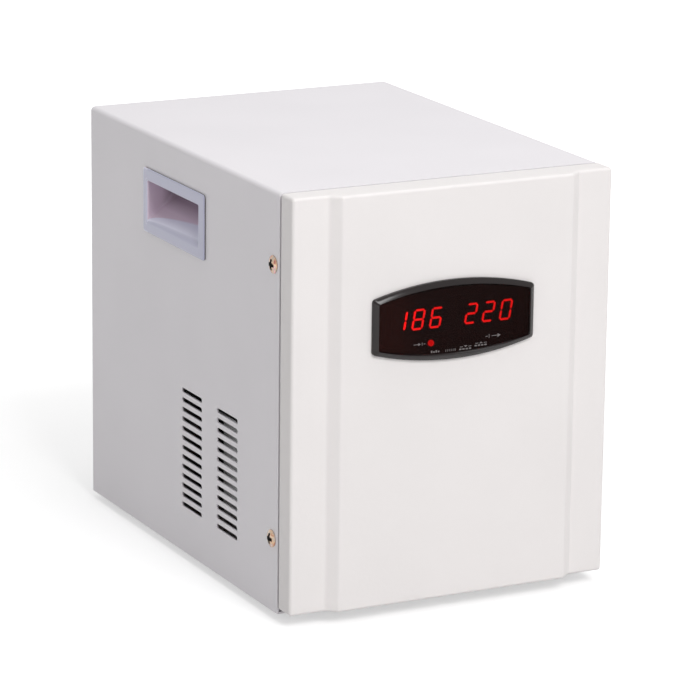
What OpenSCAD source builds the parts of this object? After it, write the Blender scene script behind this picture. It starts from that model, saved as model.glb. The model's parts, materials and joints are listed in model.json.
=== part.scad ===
// Desktop servo voltage stabilizer, in millimetres.
// +Z is up and the display faces -Y. The origin is on the floor, under the middle of the whole object.

/* [Cabinet] */
// Width over the steel cover
cover_w = 220; // [205:1:240]
// Height of the steel cover
cover_h = 265; // [255:1:290]
// Depth of the steel cover behind the front panel
cover_d = 288; // [280:1:320]
// Thickness of the sheet steel
sheet_t = 1.2; // [0.8:0.1:1.6]
// Outside radius of the cover's two top bends
bend_r = 3; // [2:0.5:6]
// Width of the lip folded in round the cover's rear edge
lip_w = 12; // [10:0.5:16]
// Clearance between nested sheet parts
nest_gap = 0.3; // [0.2:0.05:0.5]
// Radius of the rubber feet
foot_r = 11; // [9:0.5:14]
// Height of the rubber feet
foot_h = 5; // [4:0.5:8]
// Distance of each foot's centre from the cabinet's edges
foot_inset = 34; // [28:1:44]

/* [Front panel] */
// How far the side strips stand ahead of the cover's front edge
pan_lead = 17.6; // [15:0.1:22]
// Gap between the panel's return and the cover's front edge
pan_gap = 2.5; // [1.5:0.1:4]
// Height of the panel's lower edge above the cover's lower edge
pan_lift = 3.5; // [1:0.1:8]
// How far the middle field stands ahead of the side strips
raise_d = 5.5; // [3:0.1:7]
// Width of each side strip, up to the step
strip_w = 24; // [20:0.5:28]
// Width of each sloped step
slope_w = 6.6; // [5:0.1:9]
// Radius of the panel's upright front edges
pan_edge_r = 2; // [1.7:0.1:3]
// Radius of the studs that carry the panel
stud_r = 4; // [3.5:0.1:5]
// Distance of the studs from the panel's top and bottom edges
stud_inset = 28; // [22:1:40]

/* [Side vents] */
// Length of a vent slot
slot_l = 30.5; // [24:0.5:36]
// Height of a vent slot
slot_h = 3; // [2:0.1:4]
// Spacing of the slots, one above the other
slot_pitch = 6.32; // [5:0.01:7]
// Slots in each column
slot_rows = 13; // [8:1:14]
// Columns of slots on each side
slot_cols = 2; // [1:1:2]
// Spacing of the columns
col_pitch = 53; // [45:0.5:60]
// Distance of the first slot behind the cover's front edge
vent_back = 58; // [50:0.5:66]
// Height of the lowest slot's centre above the cover's lower edge
vent_low = 31.8; // [28:0.1:40]

/* [Side handles] */
// Length of the handle's flange
handle_w = 93.5; // [90:0.5:100]
// Height of the handle's flange
handle_h = 42.2; // [40:0.1:46]
// Thickness of the flange outside the cover
handle_t = 1.5; // [1:0.1:2.5]
// Corner radius of the flange
handle_r = 4; // [2:0.5:6]
// Distance of the flange behind the cover's front edge
handle_back = 105.5; // [100:0.5:112]
// Distance of the flange's upper edge below the cover's top
handle_down = 23; // [19:0.1:27]
// Length of the handle's opening
cup_w = 78.5; // [72:0.5:80]
// Height of the handle's opening
cup_h = 26; // [23:0.1:28]
// Depth of the finger recess
cup_d = 28; // [20:0.5:34]
// Wall of the finger recess
cup_wall = 2; // [1.5:0.1:2.5]
// How much the recess's floor rises towards its back
cup_rise = 14; // [8:0.5:17]
// How far the recess reaches up behind the flange's top rim
cup_hook = 2; // [1:0.1:3]
// Width of the flange between the opening and its rear edge
cup_rear_rim = 6.9; // [5:0.1:8]
// Height of the flange between the opening and its lower edge
cup_low_rim = 8.2; // [7:0.1:9]

/* [Side screws] */
// Radius of the domed screw heads on the cover's sides
dome_r = 5.6; // [4.5:0.1:6.5]
// Height of the domed screw heads
dome_h = 3; // [2:0.1:4]
// Distance of the screws behind the cover's front edge
screw_back = 8; // [7.5:0.1:12]
// Height of the lower screws above the cover's lower edge
screw_low = 46.7; // [40:0.1:60]
// Distance of the upper screws below the cover's top
screw_down = 45.6; // [30:0.1:60]
// Thread radius of the cabinet's screws
thread_r = 2; // [1.5:0.1:2.5]

/* [Display] */
// Width of the bezel
bezel_w = 111; // [108:0.5:120]
// Height of the bezel at its two ends
bezel_side_h = 34; // [33.6:0.1:38]
// Height of the bezel at its middle
bezel_mid_h = 50; // [48:0.1:56]
// How far the bezel stands ahead of the panel
bezel_t = 4; // [3:0.1:6]
// Width of the view through the bezel
view_w = 103.5; // [102:0.5:105]
// Height of the view at its two ends
view_side_h = 28.8; // [27:0.1:29.5]
// Height of the view at its middle
view_mid_h = 41.5; // [39:0.1:43]
// Height of the display's centre above the cover's lower edge
display_up = 182; // [160:1:195]
// Distance of the display's centre from the cabinet's middle, towards +X
display_side = -3.6; // [-6:0.1:6]
// Thickness of the smoked window
window_t = 2; // [1.5:0.1:2.5]
// Height of a digit
digit_h = 13; // [11:0.1:14]
// Width of a digit
digit_w = 7.8; // [6:0.1:8]
// Spacing of the digits
digit_pitch = 12.1; // [11:0.1:12.5]
// Width of a digit's segments
seg_w = 1.5; // [1.1:0.1:1.8]
// Forward slant of the digits, in degrees
digit_slant = 10; // [0:1:12]
// Distance between the centres of the two displays
display_pitch = 48.5; // [46:0.5:50]
// Spacing of the indicator lamps
lamp_pitch = 10.6; // [9:0.1:12]
// Radius of the indicator lamps
lamp_r = 2; // [1.5:0.1:2.5]

/* [Variable transformer] */
// Outer radius of the toroid winding
toroid_r = 76; // [68:0.5:78]
// Radius of the toroid's hole
toroid_hole_r = 34; // [30:0.5:38]
// Height of the toroid winding
toroid_h = 58; // [48:0.5:64]
// Thickness of the winding round the core
winding_t = 5; // [3:0.1:7]
// Distance of the toroid's axis behind the cover's front edge
variac_back = 105; // [102:0.5:112]
// Radius of the brush shaft
shaft_r = 4; // [3:0.1:5]
// Radius at which the carbon brush runs
brush_rad = 64; // [62:0.5:66]
// Length of the carbon brush along its travel
brush_l = 15; // [12:0.5:18]
// Travel of the carbon brush against its spring
brush_travel = 2.5; // [1:0.1:4]

/* [Servo drive] */
// Module of the drive gears
gear_module = 1.5; // [1.4:0.01:1.6]
// Teeth of the drive gear
gear_teeth = 48; // [44:4:52]
// Teeth of the motor's pinion
pinion_teeth = 12; // [12:1:13]
// Thickness of the drive gear
gear_t = 5; // [3:0.5:7]
// Radius of the servo motor
motor_r = 26; // [20:0.5:28]
// Height of the servo motor
motor_h = 28; // [20:0.5:30]
// Thickness of the motor bridge
bridge_t = 1.5; // [1:0.1:2.5]

/* [Compensation transformer] */
// Width of the laminations
lam_w = 96; // [90:1:110]
// Height of the laminations
lam_h = 80; // [72:1:86]
// Thickness of the lamination stack
stack_t = 40; // [30:1:44]
// Width of the laminations' outer limbs
limb_w = 16; // [14:0.5:18]
// Distance of the stack's centre behind the cover's front edge
trans_back = 228; // [222:1:232]

/* [Control board] */
// Width of the control board
board_w = 124; // [116:1:130]
// Depth of the control board
board_d = 78; // [72:1:82]
// Thickness of both circuit boards
board_t = 1.6; // [1:0.1:2]
// Height of the pillars under the control board
pillar_h = 40; // [34:1:42]

/* [Rear fittings] */
// Width of the breaker
breaker_w = 36; // [30:1:40]
// Height of the breaker's body behind the panel
breaker_h = 84; // [70:1:90]
// Depth of the breaker's body behind the panel
breaker_d = 56; // [46:1:60]
// Height of the breaker's nose in the panel
nose_h = 45; // [38:1:50]
// How far the nose stands out of the panel
nose_out = 6; // [4:0.5:9]
// Side of a socket's square face
socket_w = 46; // [42:1:50]
// Radius of the socket's live and neutral holes
pin_hole_r = 2.45; // [2.2:0.05:2.8]
// Radius of the socket's earth hole
earth_hole_r = 2.8; // [2.4:0.05:3.2]
// Distance between the socket's live and neutral holes
pin_pitch = 19; // [17:0.5:22]
// Radius of the gland's bore for the supply cable
gland_bore_r = 5; // [3.5:0.1:6]
// How far the gland stands out of the panel
gland_out = 22; // [18:0.5:28]
// Radius of the delay button
button_r = 5.5; // [4.5:0.1:6.5]
// Travel of the delay button
button_travel = 3; // [2:0.1:3.5]
// Radius of the earth stud
earth_r = 2.5; // [2:0.1:3]

/* [Hidden] */
$fn = 48;

// Overrun of every cut past the face that it opens
over = 1;
// Clearance of a screw in its hole
thread_gap = 0.1;
// Running clearance of a shaft in its bore
run_gap = 0.05;
// Clearance between pieces that move past each other
move_gap = 0.3;
sides = [-1, 1];

// Places of the cabinet's faces
rear_proud = gland_out - sheet_t;
depth_all = bezel_t + raise_d + pan_lead + cover_d + rear_proud;
y_field = bezel_t - depth_all / 2;
y_strip = y_field + raise_d;
y_cover = y_strip + pan_lead;
y_pan_back = y_cover - pan_gap;
y_back = y_cover + cover_d;
y_rear = y_back - sheet_t;
y_rear_in = y_rear - sheet_t;
z_cab = foot_h;
z_floor = z_cab + sheet_t;
z_top = z_cab + cover_h;
z_pan = z_cab + pan_lift;
half_w = cover_w / 2;
half_in = half_w - sheet_t;
half_nest = half_in - nest_gap;
field_half = half_w - strip_w - slope_w;
side_screw_zs = [z_cab + screw_low, z_top - screw_down];

// Front frame
frame_set = 3;
frame_d = 21;
y_frame = y_cover + frame_set;
y_frame_in = y_frame + sheet_t;
y_frame_back = y_frame + frame_d;
z_frame_top = z_top - sheet_t - nest_gap;
collar_wall = 2;
collar_r = thread_r + collar_wall;
collar_l = 3;
stud_x = half_w - strip_w / 2;
stud_zs = [z_pan + stud_inset, z_top - stud_inset];

// Screw heads
head_r = 3.8;
head_h = 2.4;
head_top_share = 0.6;
cross_w = 1;
cross_d = 1.4;
cross_share = 0.62;
screw_l = 8;
screw_end = 1;

// Rear lip screws
lip_mid = (lip_w + sheet_t) / 2;
rear_low = 40;
rear_places = [
    [-half_w + lip_mid, z_cab + rear_low], [half_w - lip_mid, z_cab + rear_low],
    [-half_w + lip_mid, z_top - rear_low], [half_w - lip_mid, z_top - rear_low],
    [-half_w / 2, z_top - lip_mid], [half_w / 2, z_top - lip_mid]
];

// Base tray
tray_lip = 14;
tray_low = z_floor + tray_lip / 2;
tray_screw_x = half_w / 2;
frame_screw_x = half_w * 2 / 3;

// Foot fixings
foot_taper = 1.5;
pocket_gap = 0.7;
pocket_air = 0.6;
foot_pocket_r = head_r + pocket_gap;
foot_pocket_h = head_h + pocket_air;
nut_w = 3.5;
nut_h = 3.2;

// Handles
handle_y0 = y_cover + handle_back;
cup_y1 = handle_y0 + handle_w - cup_rear_rim;
cup_y0 = cup_y1 - cup_w;
handle_z0 = z_top - handle_down - handle_h;
cup_z0 = handle_z0 + cup_low_rim;
cup_z1 = cup_z0 + cup_h;

// Display
bezel_lip = 1.5;
window_fit = 0.15;
rebate = 0.8;
skirt_wall = 1;
skirt_l = 5;
skirt_fit = 0.2;
z_disp = z_cab + display_up;
y_bezel = y_field - bezel_t;
y_window = y_bezel + bezel_lip;
module_gap = 1.2;
seg_t = 0.4;
module_d = 7.5;
module_h = 19;
module_rim = 1;
y_seg = y_window + window_t + module_gap;
y_module = y_seg + seg_t;
y_pcb = y_module + module_d;
digit_shift = 1.1;
display_x = display_side + digit_shift;
digit_up = 1.5;
lamp_drop = 14.2;
lamp_shift = 1.6;
lamp_x = display_side + lamp_shift;
lamp_body = 6;
pcb_w = 100;
pcb_h = 46;
spacer_r = 3;
spacer_inset = 6;
seg_gap = 0.35;
digit_count = 3;
module_w = digit_count * digit_pitch + module_rim;
lamp_count = 4;

// Segments a to g of the figures that show
figures_in = [[0, 1, 1, 0, 0, 0, 0], [1, 1, 1, 1, 1, 1, 1], [1, 0, 1, 1, 1, 1, 1]];
figures_out = [[1, 1, 0, 1, 1, 0, 1], [1, 1, 0, 1, 1, 0, 1], [1, 1, 1, 1, 1, 1, 0]];

// Toroid
y_toroid = y_cover + variac_back;
pad_t = 3;
pad_rim = 4;
pad_gap = 1;
z_coil = z_floor + pad_t;
z_coil_top = z_coil + toroid_h;
coil_round = 4;
core_gap = 0.3;
clamp_t = 4;
clamp_over = 10;
hub_r = 13;
hub_foot_gap = 4;
hub_foot_r = toroid_hole_r - hub_foot_gap;
hub_foot_t = 4;
bush_wall = 3;
bush_r = shaft_r + bush_wall;
bush_l = 12;
bush_lip = 1.5;
bush_lip_over = 2;
bush_lip_r = bush_r + bush_lip_over;
hub_nut_wall = 6;
hub_nut_r = hub_r + hub_nut_wall;
hub_nut_h = 4;
z_hub_top = z_coil_top + clamp_t + hub_nut_h;
hub_screw_inset = 7;
hub_screw_r = hub_foot_r - hub_screw_inset;
hub_screw_turns = [45 : 90 : 315];

// Brush arm
z_arm = z_hub_top + bush_lip + move_gap;
arm_t = 5;
arm_w = 14;
arm_hub_r = 10;
arm_hub_h = 12;
tail_l = 24;
z_gear = z_arm + arm_hub_h;
brush_w = 8;
brush_t = 6;
holder_gap = 0.2;
holder_w = arm_w;
holder_t = 12;
holder_lift = 2;
spring_h = 6;
cap_t = 2;
z_brush = z_coil_top + move_gap;
z_brush_top = z_brush + brush_l;
z_cap = z_brush_top + spring_h;
spring_r = 2.4;
spring_wire = 0.6;
nib_r = 1.4;
nib_h = 2;

// Servo drive
backlash = 0.16;
pressure_angle = 25;
root_share = 1.25;
tooth_steps = 3;
gear_pitch_r = gear_module * gear_teeth / 2;
pinion_pitch_r = gear_module * pinion_teeth / 2;
motor_x = gear_pitch_r + pinion_pitch_r;
pinion_over = 0.5;
pinion_shaft_r = 3;
shaft_grip = 10;
shaft_end = 1;
gear_air = 1.6;
z_bridge = max(z_gear + gear_t + gear_air + bush_lip, z_cap + cap_t + gear_air);
z_bridge_top = z_bridge + bridge_t;
bridge_air = 13;
bridge_half = toroid_r + bridge_air;
bridge_front = 48;
bridge_rear = 80;
leg_w = 36;
bridge_foot = 12;
shaft_over = 4;
motor_ear = 7;
motor_ear_t = 2;

// Limit switches
switch_x = 3.2;
switch_w = 6.4;
switch_l = 20;
switch_drop = 4;
switch_h = z_bridge - z_cap + switch_drop;
switch_set = 55;
switch_y = y_toroid + switch_set;
ear_t = 1;
ear_l = 3.2;
lever_h = 3.4;
lever_t = 0.6;
lever_l = 17;
lever_tilt = 12;
lever_pin_r = 0.6;
lever_eye_r = 1.3;
lever_gap = 0.2;
lever_x = switch_x + switch_w + ear_l - lever_eye_r;
lever_end = 1;
lever_y = switch_y + switch_l - lever_eye_r - lever_end;
z_lever = z_cap - lever_h / 2;
plunger_r = 0.8;
plunger_h = 2.2;

// Compensation transformer
y_trans = y_cover + trans_back;
trans_gap = 0.3;
coil_out = 13;
window_w = (lam_w - 4 * limb_w) / 2;
clamp_h = 13;
bolt_r = 2;
bolt_set = limb_w / 2;

// Control board
z_board = z_bridge_top + pillar_h;
z_board_top = z_board + board_t;
pillar_r = 3.5;
pillar_inset = 6;
relay_w = 28;
relay_d = 13;
relay_h = 22;
relay_pitch = 18;
cap_r = 6.5;
cap_h = 20;
cap_pitch = 17;
trim_w = 10;
trim_h = 5;
trim_r = 3;
trim_head = 1.2;
trim_x_share = 0.3;
trim_slot = 0.8;

// Rear fittings
nose_slot_h = 20;
nose_slot_w = 24;
nose_slot_d = 15;
toggle_r = 6.4;
toggle_w = 23.4;
toggle_set = 8;
toggle_l = 18;
toggle_t = 4.5;
toggle_pin_r = 2;
toggle_tilt = 24;
breaker_shift = 13;
breaker_x = -half_w / 2 - breaker_shift;
breaker_up = 150;
fit_gap = 0.3;
socket_t = 3.5;
socket_body_w = 38;
socket_d = 28;
socket_r = 4;
socket_mid = 39;
socket_pitch = 58;
socket_xs = [socket_mid - socket_pitch / 2, socket_mid + socket_pitch / 2];
socket_up = 165;
pin_depth = 20;
earth_rise = 11;
gland_inset = 32;
gland_x = gland_inset - half_w;
gland_up = 42;
gland_wall = 4;
gland_r = gland_bore_r + gland_wall;
gland_hex_over = 4;
gland_hex_r = gland_r + gland_hex_over;
gland_hex_t = 5;
gland_in = 12;
dome_nut_over = 2.4;
dome_nut_r = gland_r + dome_nut_over;
gland_nut_t = 4;
button_inset = 34;
button_x = half_w - button_inset;
button_up = 70;
button_wall = 1.5;
button_flange = 2.5;
button_flange_t = 2;
button_in = 18;
button_proud = 4;
button_grip = 10;
earth_x = half_w - button_inset;
earth_up = 36;
earth_out = 16;
earth_nut_t = 4;
earth_nut_wall = 1.5;
earth_step = 0.5;
earth_shank_r = earth_r + earth_step;
earth_head_t = 4;
earth_head_over = 3.5;
earth_head_r = earth_r + earth_head_over;

// Plain shapes
module box(x0, x1, y0, y1, z0, z1) {
    translate([x0, y0, z0]) cube([x1 - x0, y1 - y0, z1 - z0]);
}

// A box of width w with its middle at x
module slab(x, w, y0, y1, z0, z1) {
    box(x - w / 2, x + w / 2, y0, y1, z0, z1);
}

module rod_x(x0, x1, r) {
    translate([x0, 0, 0]) rotate([0, 90, 0]) cylinder(h = x1 - x0, r = r);
}

module rod_y(y0, y1, r) {
    translate([0, y1, 0]) rotate([90, 0, 0]) cylinder(h = y1 - y0, r = r);
}

module rod_z(z0, z1, r) {
    translate([0, 0, z0]) cylinder(h = z1 - z0, r = r);
}

module along_x(x0, x1) {
    translate([x0, 0, 0]) rotate([90, 0, 90]) linear_extrude(height = x1 - x0) children();
}

module along_y(y0, y1) {
    translate([0, y1, 0]) rotate([90, 0, 0]) linear_extrude(height = y1 - y0) children();
}

module along_z(z0, z1) {
    translate([0, 0, z0]) linear_extrude(height = z1 - z0) children();
}

module round_rect(w, h, r) {
    square([w - 2 * r, h], center = true);
    square([w, h - 2 * r], center = true);
    for (x = sides, y = sides) translate([x * (w / 2 - r), y * (h / 2 - r)]) circle(r);
}

module obround(l, h) {
    square([l - h, h], center = true);
    for (s = sides) translate([s * (l - h) / 2, 0]) circle(h / 2);
}

// A rectangle that stands on z0, with its two top corners rounded
module arch_rect(w, z0, z1, r) {
    translate([-w / 2, z0]) square([w, z1 - r - z0]);
    translate([r - w / 2, z0]) square([w - 2 * r, z1 - z0]);
    for (s = sides) translate([s * (w / 2 - r), z1 - r]) circle(r);
}

// A barrel outline, with straight ends and bowed upper and lower edges
module barrel(w, side_h, mid_h) {
    sag = (mid_h - side_h) / 2;
    arc_r = (w * w / 4 + sag * sag) / (2 * sag);
    intersection() {
        square([w, mid_h], center = true);
        translate([0, mid_h / 2 - arc_r]) circle(arc_r, $fn = 400);
        translate([0, arc_r - mid_h / 2]) circle(arc_r, $fn = 400);
    }
}

// A ring along Z between two radii
module ring(z0, z1, r0, r1) {
    difference() {
        rod_z(z0, z1, r1);
        rod_z(z0 - over, z1 + over, r0);
    }
}

// A screw along +Z, with its head's underside at z = 0
module screw(r, l, head_r, head_h) {
    difference() {
        union() {
            cylinder(h = head_h / 2, r = head_r);
            translate([0, 0, head_h / 2])
                cylinder(h = head_h / 2, r1 = head_r, r2 = head_r * head_top_share);
            translate([0, 0, -l]) cylinder(h = l + head_h / 4, r = r);
        }
        for (a = [0, 90]) rotate([0, 0, a])
            translate([-head_r * cross_share, -cross_w / 2, head_h - cross_d])
                cube([2 * head_r * cross_share, cross_w, cross_d + over]);
    }
}

// A hexagonal nut along +Z
module hex_nut(r, w, h) {
    difference() {
        cylinder(h = h, r = w / cos(30), $fn = 6);
        translate([0, 0, -over]) cylinder(h = h + 2 * over, r = r);
    }
}

// Steel cabinet
module cover_section() {
    difference() {
        arch_rect(cover_w, z_cab, z_top, bend_r);
        arch_rect(cover_w - 2 * sheet_t, z_cab - over, z_top - sheet_t, bend_r - sheet_t);
    }
}

module lip_section() {
    difference() {
        arch_rect(cover_w, z_cab, z_top, bend_r);
        translate([lip_w - half_w, z_cab - over]) square([cover_w - 2 * lip_w, cover_h - lip_w + over]);
    }
}

module vent_slots() {
    for (c = [0 : slot_cols - 1], r = [0 : slot_rows - 1])
        translate([y_cover + vent_back + slot_l / 2 + c * col_pitch, z_cab + vent_low + r * slot_pitch])
            obround(slot_l, slot_h);
}

module side_cuts(s) {
    translate([s * (half_w - sheet_t / 2), 0, 0]) along_x(-sheet_t, sheet_t) {
        vent_slots();
        translate([cup_y0 - cup_wall - nest_gap, cup_z0 - cup_wall - nest_gap])
            square([cup_w + 2 * (cup_wall + nest_gap), cup_h + cup_hook + 2 * (cup_wall + nest_gap)]);
        for (z = side_screw_zs)
            translate([y_cover + screw_back, z]) circle(thread_r + thread_gap);
    }
}

module cover() {
    color("gainsboro") difference() {
        union() {
            along_y(y_cover, y_back) cover_section();
            along_y(y_back - sheet_t, y_back) lip_section();
        }
        for (s = sides) side_cuts(s);
        for (p = rear_places)
            translate([p[0], 0, p[1]]) rod_y(y_rear - over, y_back + over, thread_r + thread_gap);
    }
}

// Outline of the front panel seen from above, drawn in by a wall w at its front and sides
function pan_points(w, y_end) = [
    [half_w - w, y_end], [half_w - w, y_strip + pan_edge_r], [half_w - pan_edge_r, y_strip + w],
    [field_half + slope_w, y_strip + w], [field_half, y_field + w],
    [-field_half, y_field + w], [-field_half - slope_w, y_strip + w],
    [pan_edge_r - half_w, y_strip + w], [w - half_w, y_strip + pan_edge_r], [w - half_w, y_end]
];

module pan_section(w, y_end) {
    polygon(pan_points(w, y_end));
    for (s = sides)
        translate([s * (half_w - pan_edge_r), y_strip + pan_edge_r]) circle(pan_edge_r - w);
}

module front_panel() {
    color("white") {
        difference() {
            along_z(z_pan, z_top) pan_section(0, y_pan_back);
            along_z(z_pan + sheet_t, z_top - sheet_t) pan_section(sheet_t, y_pan_back + over);
            translate([display_side, 0, z_disp]) along_y(y_field - over, y_strip + over)
                barrel(
                    view_w + 2 * (rebate + skirt_wall + skirt_fit),
                    view_side_h + 2 * (rebate + skirt_wall + skirt_fit),
                    view_mid_h + 2 * (rebate + skirt_wall + skirt_fit)
                );
        }
        for (s = sides, z = stud_zs) translate([s * stud_x, 0, z]) difference() {
            rod_y(y_strip + sheet_t / 2, y_frame, stud_r);
            rod_y(y_frame - screw_l, y_frame + over, thread_r + thread_gap);
        }
    }
}

module front_frame() {
    color("lightgray") difference() {
        union() {
            difference() {
                along_y(y_frame, y_frame_back)
                    arch_rect(2 * half_nest, z_floor, z_frame_top, bend_r - sheet_t);
                box(sheet_t - half_nest, half_nest - sheet_t, y_frame_in, y_frame_back + over,
                    z_floor + sheet_t, z_frame_top - sheet_t);
            }
            for (s = sides, z = side_screw_zs)
                translate([s * (half_nest - sheet_t / 2), y_cover + screw_back, z]) rotate([0, -s * 90, 0])
                    cylinder(h = collar_l, r = min(collar_r, screw_back - frame_set));
        }
        translate([display_side, 0, z_disp]) along_y(y_frame - over, y_frame_in + over)
            square([pcb_w - 5 * spacer_inset, pcb_h - 3 * spacer_inset], center = true);
        for (s = sides, z = stud_zs)
            translate([s * stud_x, 0, z]) rod_y(y_frame - over, y_frame_in + over, thread_r + thread_gap);
        for (s = sides, z = side_screw_zs)
            translate([s * half_w, y_cover + screw_back, z])
                rotate([0, -s * 90, 0]) cylinder(h = screw_l + over, r = thread_r + thread_gap);
        for (x = sides, z = sides) translate([display_side + x * spacer_x, 0, z_disp + z * spacer_z])
            rod_y(y_frame - over, y_frame_in + over, board_screw_r + thread_gap);
        for (s = sides) translate([s * frame_screw_x, y_frame_screw, 0])
            rod_z(z_floor - over, z_floor + sheet_t + over, thread_r + thread_gap);
    }
}

module rear_panel() {
    color("lightgray") difference() {
        along_y(y_rear_in, y_rear)
            arch_rect(2 * half_nest, z_cab, z_top - sheet_t - nest_gap, bend_r - sheet_t);
        for (p = rear_places)
            translate([p[0], 0, p[1]]) rod_y(y_rear_in - over, y_rear + over, thread_r + thread_gap);
        for (s = sides) translate([s * tray_screw_x, 0, tray_low])
            rod_y(y_rear_in - over, y_rear + over, thread_r + thread_gap);
        translate([breaker_x, 0, z_cab + breaker_up]) along_y(y_rear_in - over, y_rear + over)
            square([breaker_w + 2 * fit_gap, nose_h + 2 * fit_gap], center = true);
        for (x = socket_xs) translate([x, 0, z_cab + socket_up]) along_y(y_rear_in - over, y_rear + over)
            square(socket_body_w + 2 * fit_gap, center = true);
        translate([gland_x, 0, z_cab + gland_up])
            rod_y(y_rear_in - over, y_rear + over, gland_r + thread_gap);
        translate([button_x, 0, z_cab + button_up])
            rod_y(y_rear_in - over, y_rear + over, button_r + run_gap + button_wall + thread_gap);
        translate([earth_x, 0, z_cab + earth_up])
            rod_y(y_rear_in - over, y_rear + over, earth_shank_r + thread_gap);
    }
}

module base_tray() {
    color("lightgray") difference() {
        union() {
            box(-half_nest, half_nest, y_cover, y_rear_in, z_cab, z_floor);
            for (s = sides)
                slab(s * (half_nest - sheet_t / 2), sheet_t, y_frame_back + nest_gap, y_rear_in,
                    z_cab, z_floor + tray_lip);
            box(-half_nest, half_nest, y_rear_in - sheet_t, y_rear_in, z_cab, z_floor + tray_lip);
        }
        for (s = sides) translate([s * tray_screw_x, 0, tray_low])
            rod_y(y_rear_in - sheet_t - over, y_rear_in + over, thread_r + thread_gap);
        for (p = foot_places) translate([p[0], p[1], 0])
            rod_z(z_cab - over, z_floor + over, thread_r + thread_gap);
        for (p = base_places) translate([p[0], p[1], 0])
            rod_z(z_cab - over, z_floor + over, thread_r + thread_gap);
    }
}

foot_places = [
    for (x = sides, y = [y_cover + foot_inset, y_back - foot_inset]) [x * (half_w - foot_inset), y]
];
y_frame_screw = y_frame_in + frame_d / 2;
bridge_foot_x = bridge_half - bridge_foot / 2;
clamp_foot_y = stack_t / 2 + sheet_t + clamp_h / 2;
trans_foot_x = lam_w / 2 - bolt_set;
base_places = concat(
    [for (s = sides) [s * frame_screw_x, y_frame_screw]],
    [for (s = sides, y = sides) [s * bridge_foot_x, y_toroid + y * leg_w / 3]],
    [for (x = sides, y = sides) [x * trans_foot_x, y_trans + y * clamp_foot_y]],
    [for (a = hub_screw_turns) [hub_screw_r * cos(a), y_toroid + hub_screw_r * sin(a)]]
);
// Thickness of what each base screw passes on top of the tray
base_grips = concat(
    [for (i = [1 : 2]) sheet_t], [for (i = [1 : 4]) bridge_t],
    [for (i = [1 : 4]) sheet_t], [for (i = [1 : 4]) hub_foot_t]
);

module feet() {
    color("dimgray") for (p = foot_places) translate([p[0], p[1], 0]) difference() {
        cylinder(h = z_cab, r1 = foot_r - foot_taper, r2 = foot_r);
        translate([0, 0, -over]) cylinder(h = foot_pocket_h + over, r = foot_pocket_r);
        cylinder(h = z_cab + over, r = thread_r + thread_gap);
    }
}

module foot_fixings() {
    color("silver") for (p = foot_places) translate([p[0], p[1], 0]) {
        translate([0, 0, foot_pocket_h]) mirror([0, 0, 1])
            screw(thread_r, z_floor + nut_h - foot_pocket_h, head_r, head_h);
        translate([0, 0, z_floor]) hex_nut(thread_r + run_gap, nut_w, nut_h);
    }
}

module cover_screws() {
    color("goldenrod") for (s = sides, z = side_screw_zs)
        translate([s * half_w, y_cover + screw_back, z])
            rotate([0, s * 90, 0]) screw(thread_r, screw_l, dome_r, dome_h);
}

module rear_screws() {
    color("silver") {
        for (p = rear_places) translate([p[0], y_back, p[1]]) rotate([-90, 0, 0])
            screw(thread_r, screw_l, head_r, head_h);
        for (s = sides) translate([s * tray_screw_x, y_rear, tray_low]) rotate([-90, 0, 0])
            screw(thread_r, screw_l, head_r, head_h);
    }
}

// Base screws go down through what they hold and the tray
module base_screws() {
    color("silver") for (i = [0 : len(base_places) - 1])
        translate([base_places[i][0], base_places[i][1], z_floor + base_grips[i]])
            screw(thread_r, base_grips[i] + sheet_t + screw_end, head_r, head_h);
}

module panel_screws() {
    color("silver") for (s = sides, z = stud_zs) translate([s * stud_x, y_frame_in, z])
        rotate([-90, 0, 0]) screw(thread_r, screw_l, head_r, head_h);
}

// Side handles
module cup_outer() {
    polygon([
        [0, cup_z0 - cup_wall], [-cup_d, cup_z0 + cup_rise - cup_wall],
        [-cup_d, cup_z1 + cup_hook + cup_wall], [0, cup_z1 + cup_hook + cup_wall]
    ]);
}

module cup_inner() {
    polygon([
        [handle_t + over, cup_z0], [0, cup_z0], [cup_wall - cup_d, cup_z0 + cup_rise],
        [cup_wall - cup_d, cup_z1 + cup_hook], [-handle_t, cup_z1 + cup_hook],
        [0, cup_z1], [handle_t + over, cup_z1]
    ]);
}

// The recess, drawn for the +X side, with x = 0 on the cover's face
module handle() {
    difference() {
        union() {
            translate([0, handle_y0 + handle_w / 2, handle_z0 + handle_h / 2]) along_x(0, handle_t)
                round_rect(handle_w, handle_h, handle_r);
            along_y(cup_y0 - cup_wall, cup_y1 + cup_wall) cup_outer();
        }
        along_y(cup_y0, cup_y1) cup_inner();
    }
}

module handle_right() {
    color("lightsteelblue") translate([half_w, 0, 0]) handle();
}

module handle_left() {
    color("lightsteelblue") mirror([1, 0, 0]) translate([half_w, 0, 0]) handle();
}

// Display
module grown_view(g) {
    barrel(view_w + 2 * g, view_side_h + 2 * g, view_mid_h + 2 * g);
}

module display_bezel() {
    color("black") translate([display_side, 0, z_disp]) difference() {
        union() {
            along_y(y_bezel, y_field) barrel(bezel_w, bezel_side_h, bezel_mid_h);
            along_y(y_field - over, y_field + skirt_l) grown_view(rebate + skirt_wall);
        }
        along_y(y_bezel - over, y_window + over) grown_view(0);
        along_y(y_window, y_field + skirt_l + over) grown_view(rebate);
    }
}

module display_window() {
    color([0.15, 0.02, 0.02]) translate([display_side, 0, z_disp])
        along_y(y_window, y_window + window_t) grown_view(rebate - window_fit);
}

spacer_x = pcb_w / 2 - spacer_inset;
spacer_z = pcb_h / 2 - spacer_inset;
board_screw_r = 1.5;
board_head_r = 2.7;
board_head_h = 1.8;

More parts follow.
